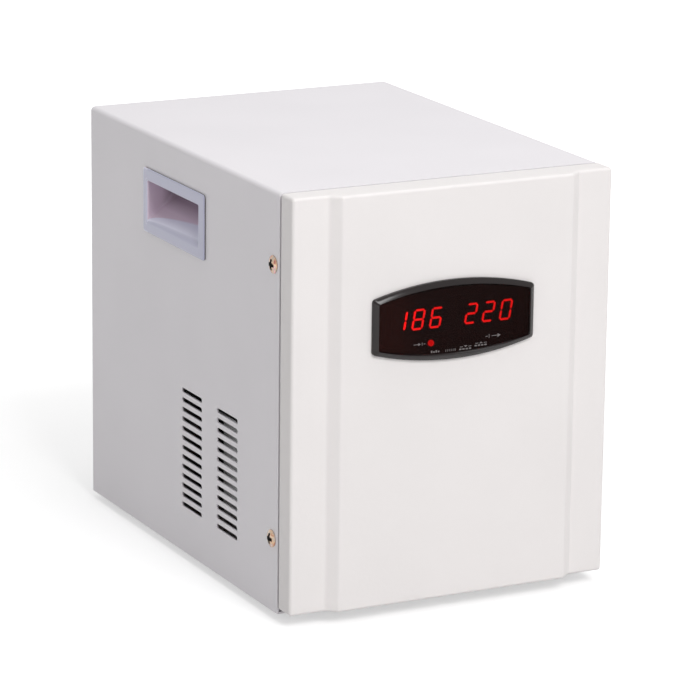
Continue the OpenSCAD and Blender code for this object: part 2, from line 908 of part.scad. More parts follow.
module display_board() {
    color("darkgreen") translate([display_side, 0, z_disp]) difference() {
        along_y(y_pcb, y_pcb + board_t) square([pcb_w, pcb_h], center = true);
        for (x = sides, z = sides) translate([x * spacer_x, 0, z * spacer_z])
            rod_y(y_pcb - over, y_pcb + board_t + over, board_screw_r + thread_gap);
    }
}

module board_spacers() {
    color("silver") translate([display_side, 0, z_disp]) for (x = sides, z = sides)
        translate([x * spacer_x, 0, z * spacer_z]) difference() {
            rod_y(y_pcb + board_t, y_frame, spacer_r);
            rod_y(y_pcb + board_t - over, y_frame + over, board_screw_r + thread_gap);
        }
}

module board_screws() {
    color("silver") {
        translate([display_side, 0, z_disp]) for (x = sides, z = sides)
            translate([x * spacer_x, 0, z * spacer_z]) {
                translate([0, y_pcb, 0]) rotate([90, 0, 0])
                    screw(board_screw_r, board_t + spacer_inset, board_head_r, board_head_h);
                translate([0, y_frame_in, 0]) rotate([-90, 0, 0])
                    screw(board_screw_r, sheet_t + spacer_inset, board_head_r, board_head_h);
            }
        for (x = sides, y = sides) translate([x * pillar_x, y_toroid + y * pillar_y, z_board_top])
            screw(board_screw_r, board_t + spacer_inset, board_head_r, board_head_h);
    }
}

// Outline of one segment: a bar from -l to l along its length, with pointed ends
function bar(l, w) = [
    [-l, 0], [w / 2 - l, w / 2], [l - w / 2, w / 2], [l, 0], [l - w / 2, -w / 2], [w / 2 - l, -w / 2]
];
function slanted(p) = [p[0] + p[1] * tan(digit_slant), p[1]];

side_x = (digit_w - seg_w) / 2;
bar_h = (digit_h - seg_w) / 2;
flat_l = side_x - seg_gap;
tall_l = bar_h / 2 - seg_gap;
// Middle and direction of segments a to g
seg_spots = [
    [0, bar_h, 0], [side_x, bar_h / 2, 1], [side_x, -bar_h / 2, 1], [0, -bar_h, 0],
    [-side_x, -bar_h / 2, 1], [-side_x, bar_h / 2, 1], [0, 0, 0]
];

module segment(i) {
    s = seg_spots[i];
    pts = bar(s[2] == 1 ? tall_l : flat_l, seg_w);
    polygon([for (p = pts) slanted(s[2] == 1 ? [s[0] - p[1], s[1] + p[0]] : [s[0] + p[0], s[1] + p[1]])]);
}

// Segments of one display whose state is wanted
module figures(x, table, wanted) {
    for (d = [0 : digit_count - 1], i = [0 : 6]) if (table[d][i] == wanted)
        translate([x + (d - 1) * digit_pitch, 0, z_disp + digit_up]) along_y(y_seg, y_module) segment(i);
}

module lit_segments() {
    color("red") {
        figures(display_x - display_pitch / 2, figures_in, 1);
        figures(display_x + display_pitch / 2, figures_out, 1);
    }
}

module dark_segments() {
    color([0.2, 0.05, 0.05]) {
        figures(display_x - display_pitch / 2, figures_in, 0);
        figures(display_x + display_pitch / 2, figures_out, 0);
    }
}

module led_module(x) {
    translate([x, 0, z_disp + digit_up]) along_y(y_module, y_pcb)
        square([module_w, module_h], center = true);
}

module input_display() {
    color([0.1, 0.1, 0.1]) led_module(display_x - display_pitch / 2);
}

module output_display() {
    color([0.1, 0.1, 0.1]) led_module(display_x + display_pitch / 2);
}

module indicator_lamps() {
    color("firebrick") for (i = [0 : lamp_count - 1])
        translate([lamp_x + (i - lamp_count / 2 + 0.5) * lamp_pitch, 0, z_disp - lamp_drop]) {
            rod_y(y_pcb - lamp_body, y_pcb, lamp_r);
            translate([0, y_pcb - lamp_body, 0]) sphere(lamp_r);
        }
}

// Variable transformer
module toroid_section(r0, r1, z0, z1, c) {
    translate([(r0 + r1) / 2, (z0 + z1) / 2]) round_rect(r1 - r0, z1 - z0, c);
}

module toroid_core() {
    g = winding_t + core_gap;
    color("slategray") translate([0, y_toroid, 0]) rotate_extrude()
        toroid_section(toroid_hole_r + g, toroid_r - g, z_coil + g, z_coil_top - g, coil_round / 4);
}

module toroid_winding() {
    color("peru") translate([0, y_toroid, 0]) rotate_extrude() difference() {
        toroid_section(toroid_hole_r, toroid_r, z_coil, z_coil_top, coil_round);
        toroid_section(toroid_hole_r + winding_t, toroid_r - winding_t, z_coil + winding_t,
            z_coil_top - winding_t, coil_round / 4);
    }
}

module toroid_pad() {
    color("tan") translate([0, y_toroid, 0])
        ring(z_floor, z_coil, hub_foot_r + pad_gap, toroid_r - pad_rim);
}

module clamp_ring() {
    color("saddlebrown") translate([0, y_toroid, 0])
        ring(z_coil_top, z_coil_top + clamp_t, hub_r + run_gap, toroid_hole_r + clamp_over);
}

module hub_column() {
    color("silver") translate([0, y_toroid, 0]) difference() {
        union() {
            rod_z(z_floor, z_floor + hub_foot_t, hub_foot_r);
            rod_z(z_floor, z_hub_top, hub_r);
        }
        rod_z(z_floor - over, z_hub_top + over, bush_r + run_gap);
        for (a = hub_screw_turns) translate([hub_screw_r * cos(a), hub_screw_r * sin(a), 0])
            rod_z(z_floor - over, z_floor + hub_foot_t + over, thread_r + thread_gap);
    }
}

module hub_nut() {
    color("goldenrod") translate([0, y_toroid, z_coil_top + clamp_t])
        hex_nut(hub_r + run_gap, hub_nut_r, hub_nut_h);
}

module shaft_bushes() {
    color("darkgoldenrod") translate([0, y_toroid, 0]) {
        ring(z_floor, z_floor + bush_l, shaft_r + run_gap, bush_r);
        ring(z_hub_top - bush_l, z_hub_top, shaft_r + run_gap, bush_r);
        ring(z_hub_top, z_hub_top + bush_lip, shaft_r + run_gap, bush_lip_r);
        ring(z_bridge - bush_lip, z_bridge, shaft_r + run_gap, bush_lip_r);
        ring(z_bridge, z_bridge_top, shaft_r + run_gap, bush_r);
    }
}

module brush_shaft() {
    color("silver") translate([0, y_toroid, 0])
        rod_z(z_floor + move_gap, z_bridge_top + shaft_over, shaft_r);
}

// The arm points to the front at rest
module brush_arm() {
    color("khaki") translate([0, y_toroid, 0]) difference() {
        union() {
            rod_z(z_arm, z_gear, arm_hub_r);
            slab(0, arm_w, -brush_rad, tail_l, z_arm, z_arm + arm_t);
            slab(0, holder_w, -brush_rad - holder_t / 2, -brush_rad + holder_t / 2,
                z_coil_top + holder_lift, z_cap);
        }
        rod_z(z_arm - over, z_gear + over, shaft_r);
        slab(0, brush_w + 2 * holder_gap, -brush_rad - brush_t / 2 - holder_gap,
            -brush_rad + brush_t / 2 + holder_gap, z_coil_top, z_cap + over);
    }
}

module carbon_brush() {
    color([0.2, 0.2, 0.2]) translate([0, y_toroid - brush_rad, 0])
        slab(0, brush_w, -brush_t / 2, brush_t / 2, z_brush, z_brush_top);
}

module brush_spring() {
    color("silver") translate([0, y_toroid - brush_rad, 0])
        ring(z_brush_top, z_cap, spring_r - spring_wire, spring_r);
}

module brush_cap() {
    color("saddlebrown") translate([0, y_toroid - brush_rad, 0]) {
        slab(0, holder_w, -holder_t / 2, holder_t / 2, z_cap, z_cap + cap_t);
        rod_z(z_cap - nib_h, z_cap + cap_t / 2, nib_r);
    }
}

// Involute gears
function involute(a) = tan(a) * 180 / PI - a;
function polar(r, a) = [r * cos(a), r * sin(a)];
function half_tooth(n, r) = 90 / n - backlash / (gear_module * n) * 180 / PI + involute(pressure_angle)
    - involute(acos(min(1, gear_module * n / 2 * cos(pressure_angle) / r)));
function tooth_radii(n) = let(
    pitch_r = gear_module * n / 2, root_r = pitch_r - root_share * gear_module,
    base_r = max(pitch_r * cos(pressure_angle), root_r), tip_r = pitch_r + gear_module
) concat(
    root_r < base_r ? [root_r] : [],
    [for (i = [0 : tooth_steps]) base_r + (tip_r - base_r) * i / tooth_steps]
);
function gear_points(n, turn) = let(radii = tooth_radii(n), last = len(radii) - 1) [
    for (t = [0 : n - 1], k = [0 : 2 * last + 1])
        let(i = k <= last ? k : 2 * last + 1 - k, side = k <= last ? -1 : 1)
            polar(radii[i], turn + t * 360 / n + side * half_tooth(n, radii[i]))
];

// The drive gear has a gap towards the pinion, which has a tooth towards the gear
module drive_gear() {
    color("ivory") translate([0, y_toroid, 0]) difference() {
        along_z(z_gear, z_gear + gear_t) polygon(gear_points(gear_teeth, 180 / gear_teeth));
        rod_z(z_gear - over, z_gear + gear_t + over, shaft_r);
    }
}

module motor_pinion() {
    color("goldenrod") translate([motor_x, y_toroid, 0]) {
        along_z(z_gear - pinion_over, z_gear + gear_t + pinion_over)
            polygon(gear_points(pinion_teeth, 180));
        rod_z(z_gear - pinion_over, z_bridge_top + shaft_grip, pinion_shaft_r);
    }
}

module servo_motor() {
    color("silver") translate([motor_x, y_toroid, 0]) difference() {
        union() {
            rod_z(z_bridge_top, z_bridge_top + motor_h, motor_r);
            along_z(z_bridge_top, z_bridge_top + motor_ear_t)
                obround(2 * (motor_r + motor_ear), 2 * motor_ear);
        }
        rod_z(z_bridge_top - over, z_bridge_top + shaft_grip + shaft_end, pinion_shaft_r + run_gap);
    }
}

module motor_bridge() {
    color("lightgray") difference() {
        translate([0, y_toroid, 0]) {
            slab(0, 2 * bridge_half, -bridge_front, bridge_rear, z_bridge, z_bridge_top);
            for (s = sides) {
                slab(s * (bridge_half - bridge_t / 2), bridge_t, -leg_w / 2, leg_w / 2,
                    z_floor, z_bridge_top);
                slab(s * bridge_foot_x, bridge_foot, -leg_w / 2, leg_w / 2, z_floor, z_floor + bridge_t);
            }
        }
        translate([0, y_toroid, 0]) {
            rod_z(z_bridge - over, z_bridge_top + over, bush_r + run_gap);
            translate([motor_x, 0, 0])
                rod_z(z_bridge - over, z_bridge_top + over, pinion_pitch_r + 2 * gear_module);
            for (x = sides, y = sides) translate([x * pillar_x, y * pillar_y, 0])
                rod_z(z_bridge - over, z_bridge_top + over, board_screw_r + thread_gap);
        }
        for (i = [2 : 5]) translate([base_places[i][0], base_places[i][1], 0])
            rod_z(z_floor - over, z_floor + bridge_t + over, thread_r + thread_gap);
    }
}

// Limit switches
module limit_switches() {
    for (s = sides) {
        color("navy")
            slab(s * (switch_x + switch_w / 2), switch_w, switch_y, switch_y + switch_l,
                z_bridge - switch_h, z_bridge);
        color("silver") {
            for (z = [z_lever - lever_gap - ear_t, z_lever + lever_h + lever_gap])
                slab(s * (switch_x + switch_w + ear_l / 2), ear_l, lever_y - lever_eye_r,
                    switch_y + switch_l, z, z + ear_t);
            translate([s * lever_x, lever_y, 0])
                rod_z(z_lever - lever_gap - ear_t, z_lever + lever_h + lever_gap + ear_t, lever_pin_r);
        }
        color("red") translate([s * (switch_x + switch_w), switch_y + switch_l / 3, z_lever + lever_h / 2])
            rotate([0, s * 90, 0]) cylinder(h = plunger_h, r = plunger_r);
    }
}

module limit_lever(s) {
    color("silver") translate([s * lever_x, lever_y, 0]) difference() {
        union() {
            rod_z(z_lever, z_lever + lever_h, lever_eye_r);
            rotate([0, 0, s * lever_tilt]) slab(0, lever_t, -lever_l, 0, z_lever, z_lever + lever_h);
        }
        rod_z(z_lever - over, z_lever + lever_h + over, lever_pin_r + run_gap);
    }
}

module limit_lever_left() limit_lever(-1);

module limit_lever_right() limit_lever(1);

// Compensation transformer, with its middle limb twice as wide as an outer limb
module transformer_core() {
    color("slategray") translate([0, y_trans, z_floor]) difference() {
        slab(0, lam_w, -stack_t / 2, stack_t / 2, 0, lam_h);
        for (s = sides)
            slab(s * (limb_w + window_w / 2), window_w, -stack_t, stack_t, limb_w, lam_h - limb_w);
        for (x = sides, z = [bolt_set, lam_h - bolt_set])
            translate([x * trans_foot_x, 0, z]) rod_y(-stack_t, stack_t, bolt_r + thread_gap);
    }
}

module transformer_winding() {
    color("sienna") translate([0, y_trans, 0]) difference() {
        along_z(z_floor + limb_w + trans_gap, z_floor + lam_h - limb_w - trans_gap)
            round_rect(2 * (limb_w + window_w - trans_gap), stack_t + 2 * coil_out, coil_round);
        slab(0, 2 * (limb_w + trans_gap), -stack_t / 2 - trans_gap, stack_t / 2 + trans_gap,
            z_floor, z_floor + lam_h);
    }
}

module transformer_clamps() {
    color("lightgray") translate([0, y_trans, z_floor]) for (turn = [0, 180]) rotate([0, 0, turn])
        difference() {
            union() {
                slab(0, lam_w, stack_t / 2, stack_t / 2 + sheet_t, 0, clamp_h);
                slab(0, lam_w, stack_t / 2, stack_t / 2 + sheet_t + clamp_h, 0, sheet_t);
            }
            for (x = sides) translate([x * trans_foot_x, 0, 0]) {
                translate([0, 0, bolt_set]) rod_y(0, stack_t, bolt_r + thread_gap);
                translate([0, clamp_foot_y, 0]) rod_z(-over, sheet_t + over, thread_r + thread_gap);
            }
        }
}

module transformer_bolts() {
    color("silver") for (x = sides, z = [bolt_set, lam_h - bolt_set]) {
        grip = z == bolt_set ? stack_t / 2 + sheet_t : stack_t / 2;
        translate([x * trans_foot_x, y_trans - grip, z_floor + z]) rotate([90, 0, 0])
            screw(bolt_r, 2 * grip + nut_h, head_r, head_h);
        translate([x * trans_foot_x, y_trans + grip, z_floor + z]) rotate([-90, 0, 0])
            hex_nut(bolt_r + run_gap, nut_w, nut_h);
    }
}

// Control board
pillar_x = board_w / 2 - pillar_inset;
pillar_y = board_d / 2 - pillar_inset;
trim_x = board_w * trim_x_share;

module control_board() {
    color("darkgreen") translate([0, y_toroid, 0]) difference() {
        slab(0, board_w, -board_d / 2, board_d / 2, z_board, z_board_top);
        for (x = sides, y = sides) translate([x * pillar_x, y * pillar_y, 0])
            rod_z(z_board - over, z_board_top + over, board_screw_r + thread_gap);
    }
}

module control_pillars() {
    color("goldenrod") translate([0, y_toroid, 0]) for (x = sides, y = sides)
        translate([x * pillar_x, y * pillar_y, 0]) {
            difference() {
                rod_z(z_bridge_top, z_board, pillar_r);
                rod_z(z_board - 2 * spacer_inset, z_board + over, board_screw_r + thread_gap);
            }
            rod_z(z_bridge, z_bridge_top + over, board_screw_r);
        }
}

module control_relays() {
    color("royalblue") translate([0, y_toroid, 0]) for (i = [-1, 0, 1])
        slab(-board_w / 4, relay_w, i * relay_pitch - relay_d / 2, i * relay_pitch + relay_d / 2,
            z_board_top, z_board_top + relay_h);
}

module control_capacitors() {
    color("midnightblue") translate([cap_pitch / 2, y_toroid, 0]) for (i = [-1, 0, 1])
        translate([0, i * cap_pitch, 0]) rod_z(z_board_top, z_board_top + cap_h, cap_r);
}

module trimmer_body() {
    color("blue") translate([trim_x, y_toroid, 0]) difference() {
        slab(0, trim_w, -trim_w / 2, trim_w / 2, z_board_top, z_board_top + trim_h);
        rod_z(z_board_top + trim_h / 2, z_board_top + trim_h + over, trim_r + run_gap);
    }
}

module trimmer_screw() {
    z_head = z_board_top + trim_h + trim_head;
    color("goldenrod") translate([trim_x, y_toroid, 0]) difference() {
        rod_z(z_board_top + trim_h / 2 + lever_gap, z_head, trim_r);
        slab(0, 2 * (trim_r + over), -trim_slot / 2, trim_slot / 2, z_head - trim_head, z_head + over);
    }
}

// Rear fittings
z_breaker = z_cab + breaker_up;
y_socket_in = y_rear + socket_t - pin_depth;
y_nose = y_rear + nose_out;

module breaker_body() {
    color("gainsboro") translate([breaker_x, 0, z_breaker]) {
        difference() {
            union() {
                slab(0, breaker_w, y_rear_in - breaker_d, y_rear_in, -breaker_h / 2, breaker_h / 2);
                slab(0, breaker_w, y_rear_in - over, y_nose, -nose_h / 2, nose_h / 2);
            }
            slab(0, nose_slot_w, y_nose - nose_slot_d, y_nose + over, -nose_slot_h / 2, nose_slot_h / 2);
        }
        translate([0, y_nose - toggle_set, 0])
            rod_x(-nose_slot_w / 2 - over, nose_slot_w / 2 + over, toggle_pin_r);
    }
}

// The toggle is drawn in its upper, switched-on place
module breaker_toggle() {
    color("dimgray") translate([breaker_x, y_nose - toggle_set, z_breaker]) difference() {
        union() {
            rod_x(-toggle_w / 2, toggle_w / 2, toggle_r);
            rotate([toggle_tilt, 0, 0]) slab(0, toggle_w, 0, toggle_l, -toggle_t / 2, toggle_t / 2);
        }
        rod_x(-toggle_w, toggle_w, toggle_pin_r + run_gap);
    }
}

module output_sockets() {
    color("whitesmoke") for (x = socket_xs) translate([x, 0, z_cab + socket_up]) difference() {
        union() {
            along_y(y_rear, y_rear + socket_t) round_rect(socket_w, socket_w, socket_r);
            along_y(y_socket_in, y_rear + socket_t / 2) square(socket_body_w, center = true);
        }
        for (s = sides) translate([s * pin_pitch / 2, 0, 0])
            rod_y(y_socket_in - over, y_rear + socket_t + over, pin_hole_r);
        translate([0, 0, earth_rise]) rod_y(y_socket_in - over, y_rear + socket_t + over, earth_hole_r);
    }
}

// The block with the contacts' terminals, which closes the sockets' holes from behind
module socket_bases() {
    color("dimgray") for (x = socket_xs) translate([x, 0, z_cab + socket_up])
        along_y(y_rear_in - socket_d, y_socket_in) square(socket_body_w, center = true);
}

module cable_gland() {
    color("dimgray") translate([gland_x, 0, z_cab + gland_up]) {
        difference() {
            union() {
                rod_y(y_rear_in - gland_in, y_rear + gland_out - over, gland_r);
                translate([0, y_rear, 0]) rotate([-90, 0, 0])
                    cylinder(h = gland_hex_t, r = gland_hex_r, $fn = 6);
                rod_y(y_rear + gland_hex_t, y_rear + gland_out, dome_nut_r);
            }
            rod_y(y_rear_in - gland_in - over, y_rear + gland_out + over, gland_bore_r);
        }
        translate([0, y_rear_in - gland_nut_t, 0]) rotate([-90, 0, 0])
            hex_nut(gland_r + run_gap, gland_hex_r * cos(30), gland_nut_t);
    }
}

module button_housing() {
    bore = button_r + run_gap;
    color("dimgray") translate([button_x, 0, z_cab + button_up]) difference() {
        union() {
            rod_y(y_rear, y_rear + button_flange_t, bore + button_wall + button_flange);
            rod_y(y_rear_in - button_in, y_rear + button_flange_t / 2, bore + button_wall);
        }
        rod_y(y_rear_in - button_in + button_wall, y_rear + button_flange_t + over, bore);
    }
}

module delay_button() {
    y_tip = y_rear + button_flange_t + button_proud;
    color("firebrick") translate([button_x, 0, z_cab + button_up])
        rod_y(y_tip - button_proud - button_grip, y_tip, button_r);
}

module earth_stud() {
    color("goldenrod") translate([earth_x, 0, z_cab + earth_up]) {
        rod_y(y_rear_in, y_rear + earth_out, earth_r);
        rod_y(y_rear_in, y_rear + earth_nut_t, earth_shank_r);
        translate([0, y_rear_in - earth_head_t, 0]) rotate([-90, 0, 0])
            cylinder(h = earth_head_t, r = earth_head_r, $fn = 6);
        translate([0, y_rear, 0]) rotate([-90, 0, 0])
            hex_nut(earth_shank_r + run_gap, earth_shank_r + earth_nut_wall, earth_nut_t);
    }
}

cover();
front_panel();
front_frame();
rear_panel();
base_tray();
handle_left();
handle_right();
cover_screws();
rear_screws();
base_screws();
panel_screws();
feet();
foot_fixings();
display_bezel();
display_window();
display_board();
input_display();
output_display();
lit_segments();
dark_segments();
indicator_lamps();
board_spacers();
board_screws();
toroid_core();
toroid_winding();
toroid_pad();
clamp_ring();
hub_column();
hub_nut();
shaft_bushes();
brush_shaft();
brush_arm();
carbon_brush();
brush_spring();
brush_cap();
drive_gear();
motor_pinion();
servo_motor();
motor_bridge();
limit_switches();
limit_lever_left();
limit_lever_right();
transformer_core();
transformer_winding();
transformer_clamps();
transformer_bolts();
control_board();
control_relays();
control_capacitors();
control_pillars();
trimmer_body();
trimmer_screw();
breaker_body();
breaker_toggle();
output_sockets();
socket_bases();
cable_gland();
button_housing();
delay_button();
earth_stud();
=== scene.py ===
"""A desktop voltage stabilizer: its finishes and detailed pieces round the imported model, in metres."""
import json
from math import asin, atan, atan2, cos, pi, radians, sin, sqrt, tan

import bmesh
import bpy
from mathutils import Matrix, Vector


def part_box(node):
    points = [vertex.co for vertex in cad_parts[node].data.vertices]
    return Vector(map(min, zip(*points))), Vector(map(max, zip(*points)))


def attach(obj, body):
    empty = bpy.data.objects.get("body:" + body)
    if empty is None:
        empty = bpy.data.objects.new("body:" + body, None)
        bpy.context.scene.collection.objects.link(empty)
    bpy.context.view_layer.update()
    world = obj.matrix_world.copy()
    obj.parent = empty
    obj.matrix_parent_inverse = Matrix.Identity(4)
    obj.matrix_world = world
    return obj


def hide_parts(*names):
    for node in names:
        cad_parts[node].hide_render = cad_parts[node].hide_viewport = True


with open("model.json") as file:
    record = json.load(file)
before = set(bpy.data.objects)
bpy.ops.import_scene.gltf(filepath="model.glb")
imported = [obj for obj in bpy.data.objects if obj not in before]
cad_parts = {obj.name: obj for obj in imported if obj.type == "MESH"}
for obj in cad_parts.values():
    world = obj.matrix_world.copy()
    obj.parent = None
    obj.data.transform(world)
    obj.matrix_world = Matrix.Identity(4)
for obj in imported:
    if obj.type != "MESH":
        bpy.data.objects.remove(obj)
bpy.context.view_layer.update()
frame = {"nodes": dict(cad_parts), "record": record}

SCENE = bpy.context.scene
MM = 0.001
SIDES = (-1, 1)
SLOT_OF = {part["node"]: part["material_slot"] for part in frame["record"]["subparts"]}

# Places of the cabinet, from the frame
COVER_LO, COVER_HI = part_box("cover")
PANEL_LO, PANEL_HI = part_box("front_panel")
BEZEL_LO, BEZEL_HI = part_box("display_bezel")
WINDOW_LO, WINDOW_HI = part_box("display_window")
HANDLE_LO, HANDLE_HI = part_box("handle_right")
LAMPS_LO, LAMPS_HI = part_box("indicator_lamps")
HALF_W = COVER_HI.x
Z_CAB, Z_TOP = COVER_LO.z, COVER_HI.z
Y_COVER, Y_BACK = COVER_LO.y, COVER_HI.y
Y_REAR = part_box("rear_panel")[1].y
X_DISPLAY = (BEZEL_LO.x + BEZEL_HI.x) / 2
Z_DISPLAY = (BEZEL_LO.z + BEZEL_HI.z) / 2

# Sheet steel
SHEET = 1.2 * MM
BEND_R = 3 * MM
FOLD_R = 1.6 * MM
LIP_W = 12 * MM
CUT_EDGE = 0.3 * MM
BEND_STEPS = 8

# Side vents
SLOT_L = 30.5 * MM
SLOT_H = 3 * MM
SLOT_PITCH = 6.32 * MM
SLOT_ROWS = 13
COLUMN_PITCH = 53 * MM
SLOT_COLUMNS = 2
VENT_BACK = 58 * MM
VENT_LOW = 31.8 * MM
SLOT_EDGE = 0.45 * MM

# Side screws
SCREW_BACK = 8 * MM
SCREW_ZS = (Z_CAB + 46.7 * MM, Z_TOP - 45.6 * MM)
SCREW_HOLE_R = 2.1 * MM
DOME_R = 5.6 * MM
DOME_H = 2.2 * MM
DOME_RIM = 0.5 * MM
SCREW_L = 8 * MM
THREAD_R = 2 * MM
CROSS_MOUTH = (4 * MM, 1.3 * MM)
CROSS_FLOOR = (2.4 * MM, 0.9 * MM)
CROSS_DEEP = 2 * MM

# Front panel
STRIP_W = 24 * MM
SLOPE_W = 6.6 * MM
RAISE_D = 5.5 * MM
PAN_GAP = 2.5 * MM
PAN_EDGE_R = 2.1 * MM
PAN_TOP_R = 2 * MM
STEP_R = 2.6 * MM
STUD_R = 4 * MM
STUD_INSET = 28 * MM
Y_FIELD = PANEL_LO.y
Y_STRIP = Y_FIELD + RAISE_D
Y_PAN_BACK = Y_COVER - PAN_GAP
FIELD_HALF = HALF_W - STRIP_W - SLOPE_W

# Display
BEZEL_W = BEZEL_HI.x - BEZEL_LO.x
BEZEL_MID_H = BEZEL_HI.z - BEZEL_LO.z
BEZEL_SIDE_H = 34 * MM
BEZEL_R = 2.4 * MM
CREST_SIDE = 3.1 * MM
CREST_END = 2.3 * MM
CREST_MID = 3.2 * MM
CREST_R = 1.4 * MM
BEVEL_RISE = 1.9 * MM
BEVEL_ROWS = 8
BEVEL_BOW = 0.35
VIEW_W = 103.5 * MM
VIEW_SIDE_H = 28.8 * MM
VIEW_MID_H = 41.5 * MM
VIEW_R = 1.2 * MM
REBATE = 0.8 * MM
SKIRT_WALL = 1 * MM
SKIRT_GAP = 0.2 * MM
WINDOW_LOOSE = 0.15 * MM

# Digits, lamps and captions
SEGMENTS_LO, SEGMENTS_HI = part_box("lit_segments")
DIGIT_W = 7.8 * MM
DIGIT_H = 13 * MM
DIGIT_SLANT = 10
SEG_W = 1.25 * MM
SEG_GAP = 0.25 * MM
MODULE_RIM = 1 * MM
FIGURES_IN = ((0, 1, 1, 0, 0, 0, 0), (1, 1, 1, 1, 1, 1, 1), (1, 0, 1, 1, 1, 1, 1))
FIGURES_OUT = ((1, 1, 0, 1, 1, 0, 1), (1, 1, 0, 1, 1, 0, 1), (1, 1, 1, 1, 1, 1, 0))
LAMP_NUDGE = (0.8 * MM, -0.5 * MM)
CAPTIONS = (
    ("input", "in", -27.5, 173.7, 8, 2),
    ("output", "out", 23.4, 173.8, 10.5, 2.4),
    ("lamp_1", "plain", -16.4, 168.1, 6.4, 1.5),
    ("lamp_2", "timed", -6, 167.8, 7, 1.5),
    ("lamp_3", "low", 4.4, 168.4, 9, 2.6),
    ("lamp_4", "high", 15.1, 169.6, 9, 2.6)
)

# Printed marks: thickness, height of the edge and its slope
STROKE_W = 0.4 * MM
CAPTION_FORM = (0.05 * MM, 0.03 * MM, 0.04)
MARK_FORM = (0.06 * MM, 0.04 * MM, 0.03)

# Side handles
FLANGE_T = 1.5 * MM
FLANGE_R = 2.1 * MM
FLANGE_EDGE = 0.72 * MM
FLANGE_SLOPE = 1.5 * MM
# A dark rubber sheet under each handle's flange: painted shade, the shadow line between the flange and the cover
SHADOW_SHEET_T = 0.75 * MM
SHADOW_SHEET_INSET = 0.2 * MM
CUP_W = 78.5 * MM
CUP_H = 26 * MM
CUP_D = 28 * MM
CUP_WALL = 2 * MM
CUP_RISE = 14 * MM
CUP_HOOK = 2 * MM
CUP_REAR_RIM = 6.9 * MM
CUP_LOW_RIM = 8.2 * MM
CUP_Y1 = HANDLE_HI.y - CUP_REAR_RIM
CUP_Y0 = CUP_Y1 - CUP_W
CUP_Z0 = HANDLE_LO.z + CUP_LOW_RIM
CUP_Z1 = CUP_Z0 + CUP_H
CUP_LOOSE = 0.3 * MM
CUP_BOX = (CUP_Y0, CUP_Y1, CUP_Z0, CUP_Z1 + CUP_HOOK)
HANDLE_BOX = (HANDLE_LO.y, HANDLE_HI.y, HANDLE_LO.z, HANDLE_HI.z)
# Painted light and shade in the handle recess: where the painted-lit ramp gives way to the shaded cup, and the depth
# over which painted shade darkens it
RECESS_SHADE_TURN = 1.85 * MM
RECESS_SHADE_DEPTH = 21 * MM
RAMP_RISE = 0.743
HOLLOW_START = 11 * MM
HOLLOW_BEND = 9
LIP_R = 4 * MM
TOP_LIP_R = 0.8 * MM
FRONT_LIP_R = 0.6 * MM
REAR_LIP_R = 1.6 * MM
BEAD_W = 1.1 * MM
BEAD_H = 0.08 * MM

# Rear fittings
MOUTH_EDGE = 0.5 * MM
BREAKER_R = 1.2 * MM
NOSE_H = 45 * MM
NOSE_EDGE = 0.9 * MM
SLOT_W = 24 * MM
NOSE_SLOT_H = 20 * MM
NOSE_SLOT_D = 15 * MM
PIN_R = 2 * MM
TOGGLE_R = 6.4 * MM
TOGGLE_W = 23.4 * MM
TOGGLE_SET = 8 * MM
TOGGLE_L = 18 * MM
TOGGLE_T = 4.5 * MM
TOGGLE_TILT = 24
TOGGLE_EDGE = 0.6 * MM
SOCKET_R = 4 * MM
SOCKET_EDGE = 1.5 * MM
SOCKET_BODY_W = 38 * MM
PIN_PITCH = 19 * MM
PIN_HOLE_R = 2.45 * MM
EARTH_RISE = 11 * MM
EARTH_HOLE_R = 2.8 * MM
SOCKET_GROOVE = ((19.6, 0), (19.4, 0.15), (19.3, 0.6), (18.5, 0.6), (18.4, 0.15), (18.2, 0))
MARK_RISE = 16 * MM
EARTH_SIGN_AWAY = 15 * MM
FOOT_R = 11 * MM

# Windings
TOROID_HOLE_R = 34 * MM
WINDING_T = 5 * MM
WIRE_DIP = 0.3 * MM
TOROID_TURNS = 200
COIL_TURNS = 36
WIRE_STEPS = 4
BOBBIN_X = 32.6 * MM
BOBBIN_Y = 20.3 * MM

# Meshes and materials
WELD = 1e-6
THIN_EDGE = 0.1 * MM
SMOOTH_ANGLE = 32
WIRE_ANGLE = 80
GRIP_ANGLE = 40
BEZEL_ANGLE = 50
NOISE_LOW, NOISE_HIGH = 0.3, 0.7
COAT_ROUGH = 0.1
WAVE_SCALE = 14
LAMINATION_PITCH = 0.5 * MM
MIX_A, MIX_B, MIX_RESULT = 6, 7, 2
WHITE = (1, 1, 1, 1)

# Stage
FLOOR_HALF = 9.0
FLOOR_GREY = (0.7, 0.7, 0.7, 1)
FLOOR_GLOW = 0.5
GLOW_NEAR, GLOW_FAR = 0.3, 1.2
LIGHT_TARGET = Vector((0, 0, 0.14))
FILL_LIGHT = 0.44
LIGHTS = (("key", (0.0, -2.2, 2.0), 1.2, 39.5), ("overhead", (0.2, -0.2, 2.6), 1.6, 12))

# Camera, with the photograph's place, angle and field
CAMERA_AT = Vector((-1.09355, -2.16845, 0.77468))
CAMERA_TURN = -26.9702
CAMERA_RISE = 14.937
CAMERA_ROLL = 0.6818
CAMERA_LENS = 198.826
CAMERA_SENSOR = 36


def add_object(name, data):
    made = bpy.data.objects.new(name, data)
    SCENE.collection.objects.link(made)
    return made


def make_camera():
    turn, rise, roll = (radians(a) for a in (CAMERA_TURN, CAMERA_RISE, CAMERA_ROLL))
    back = Vector((sin(turn) * cos(rise), -cos(turn) * cos(rise), sin(rise)))
    level = (-back).cross(Vector((0, 0, 1))).normalized()
    upright = level.cross(-back)
    right = level * cos(roll) + upright * sin(roll)
    up = upright * cos(roll) - level * sin(roll)
    data = bpy.data.cameras.new("camera")
    data.lens = CAMERA_LENS
    data.sensor_width = CAMERA_SENSOR
    camera = add_object("camera", data)
    camera.matrix_world = Matrix.Translation(CAMERA_AT) @ Matrix((right, up, back)).transposed().to_4x4()
    SCENE.camera = camera


make_camera()


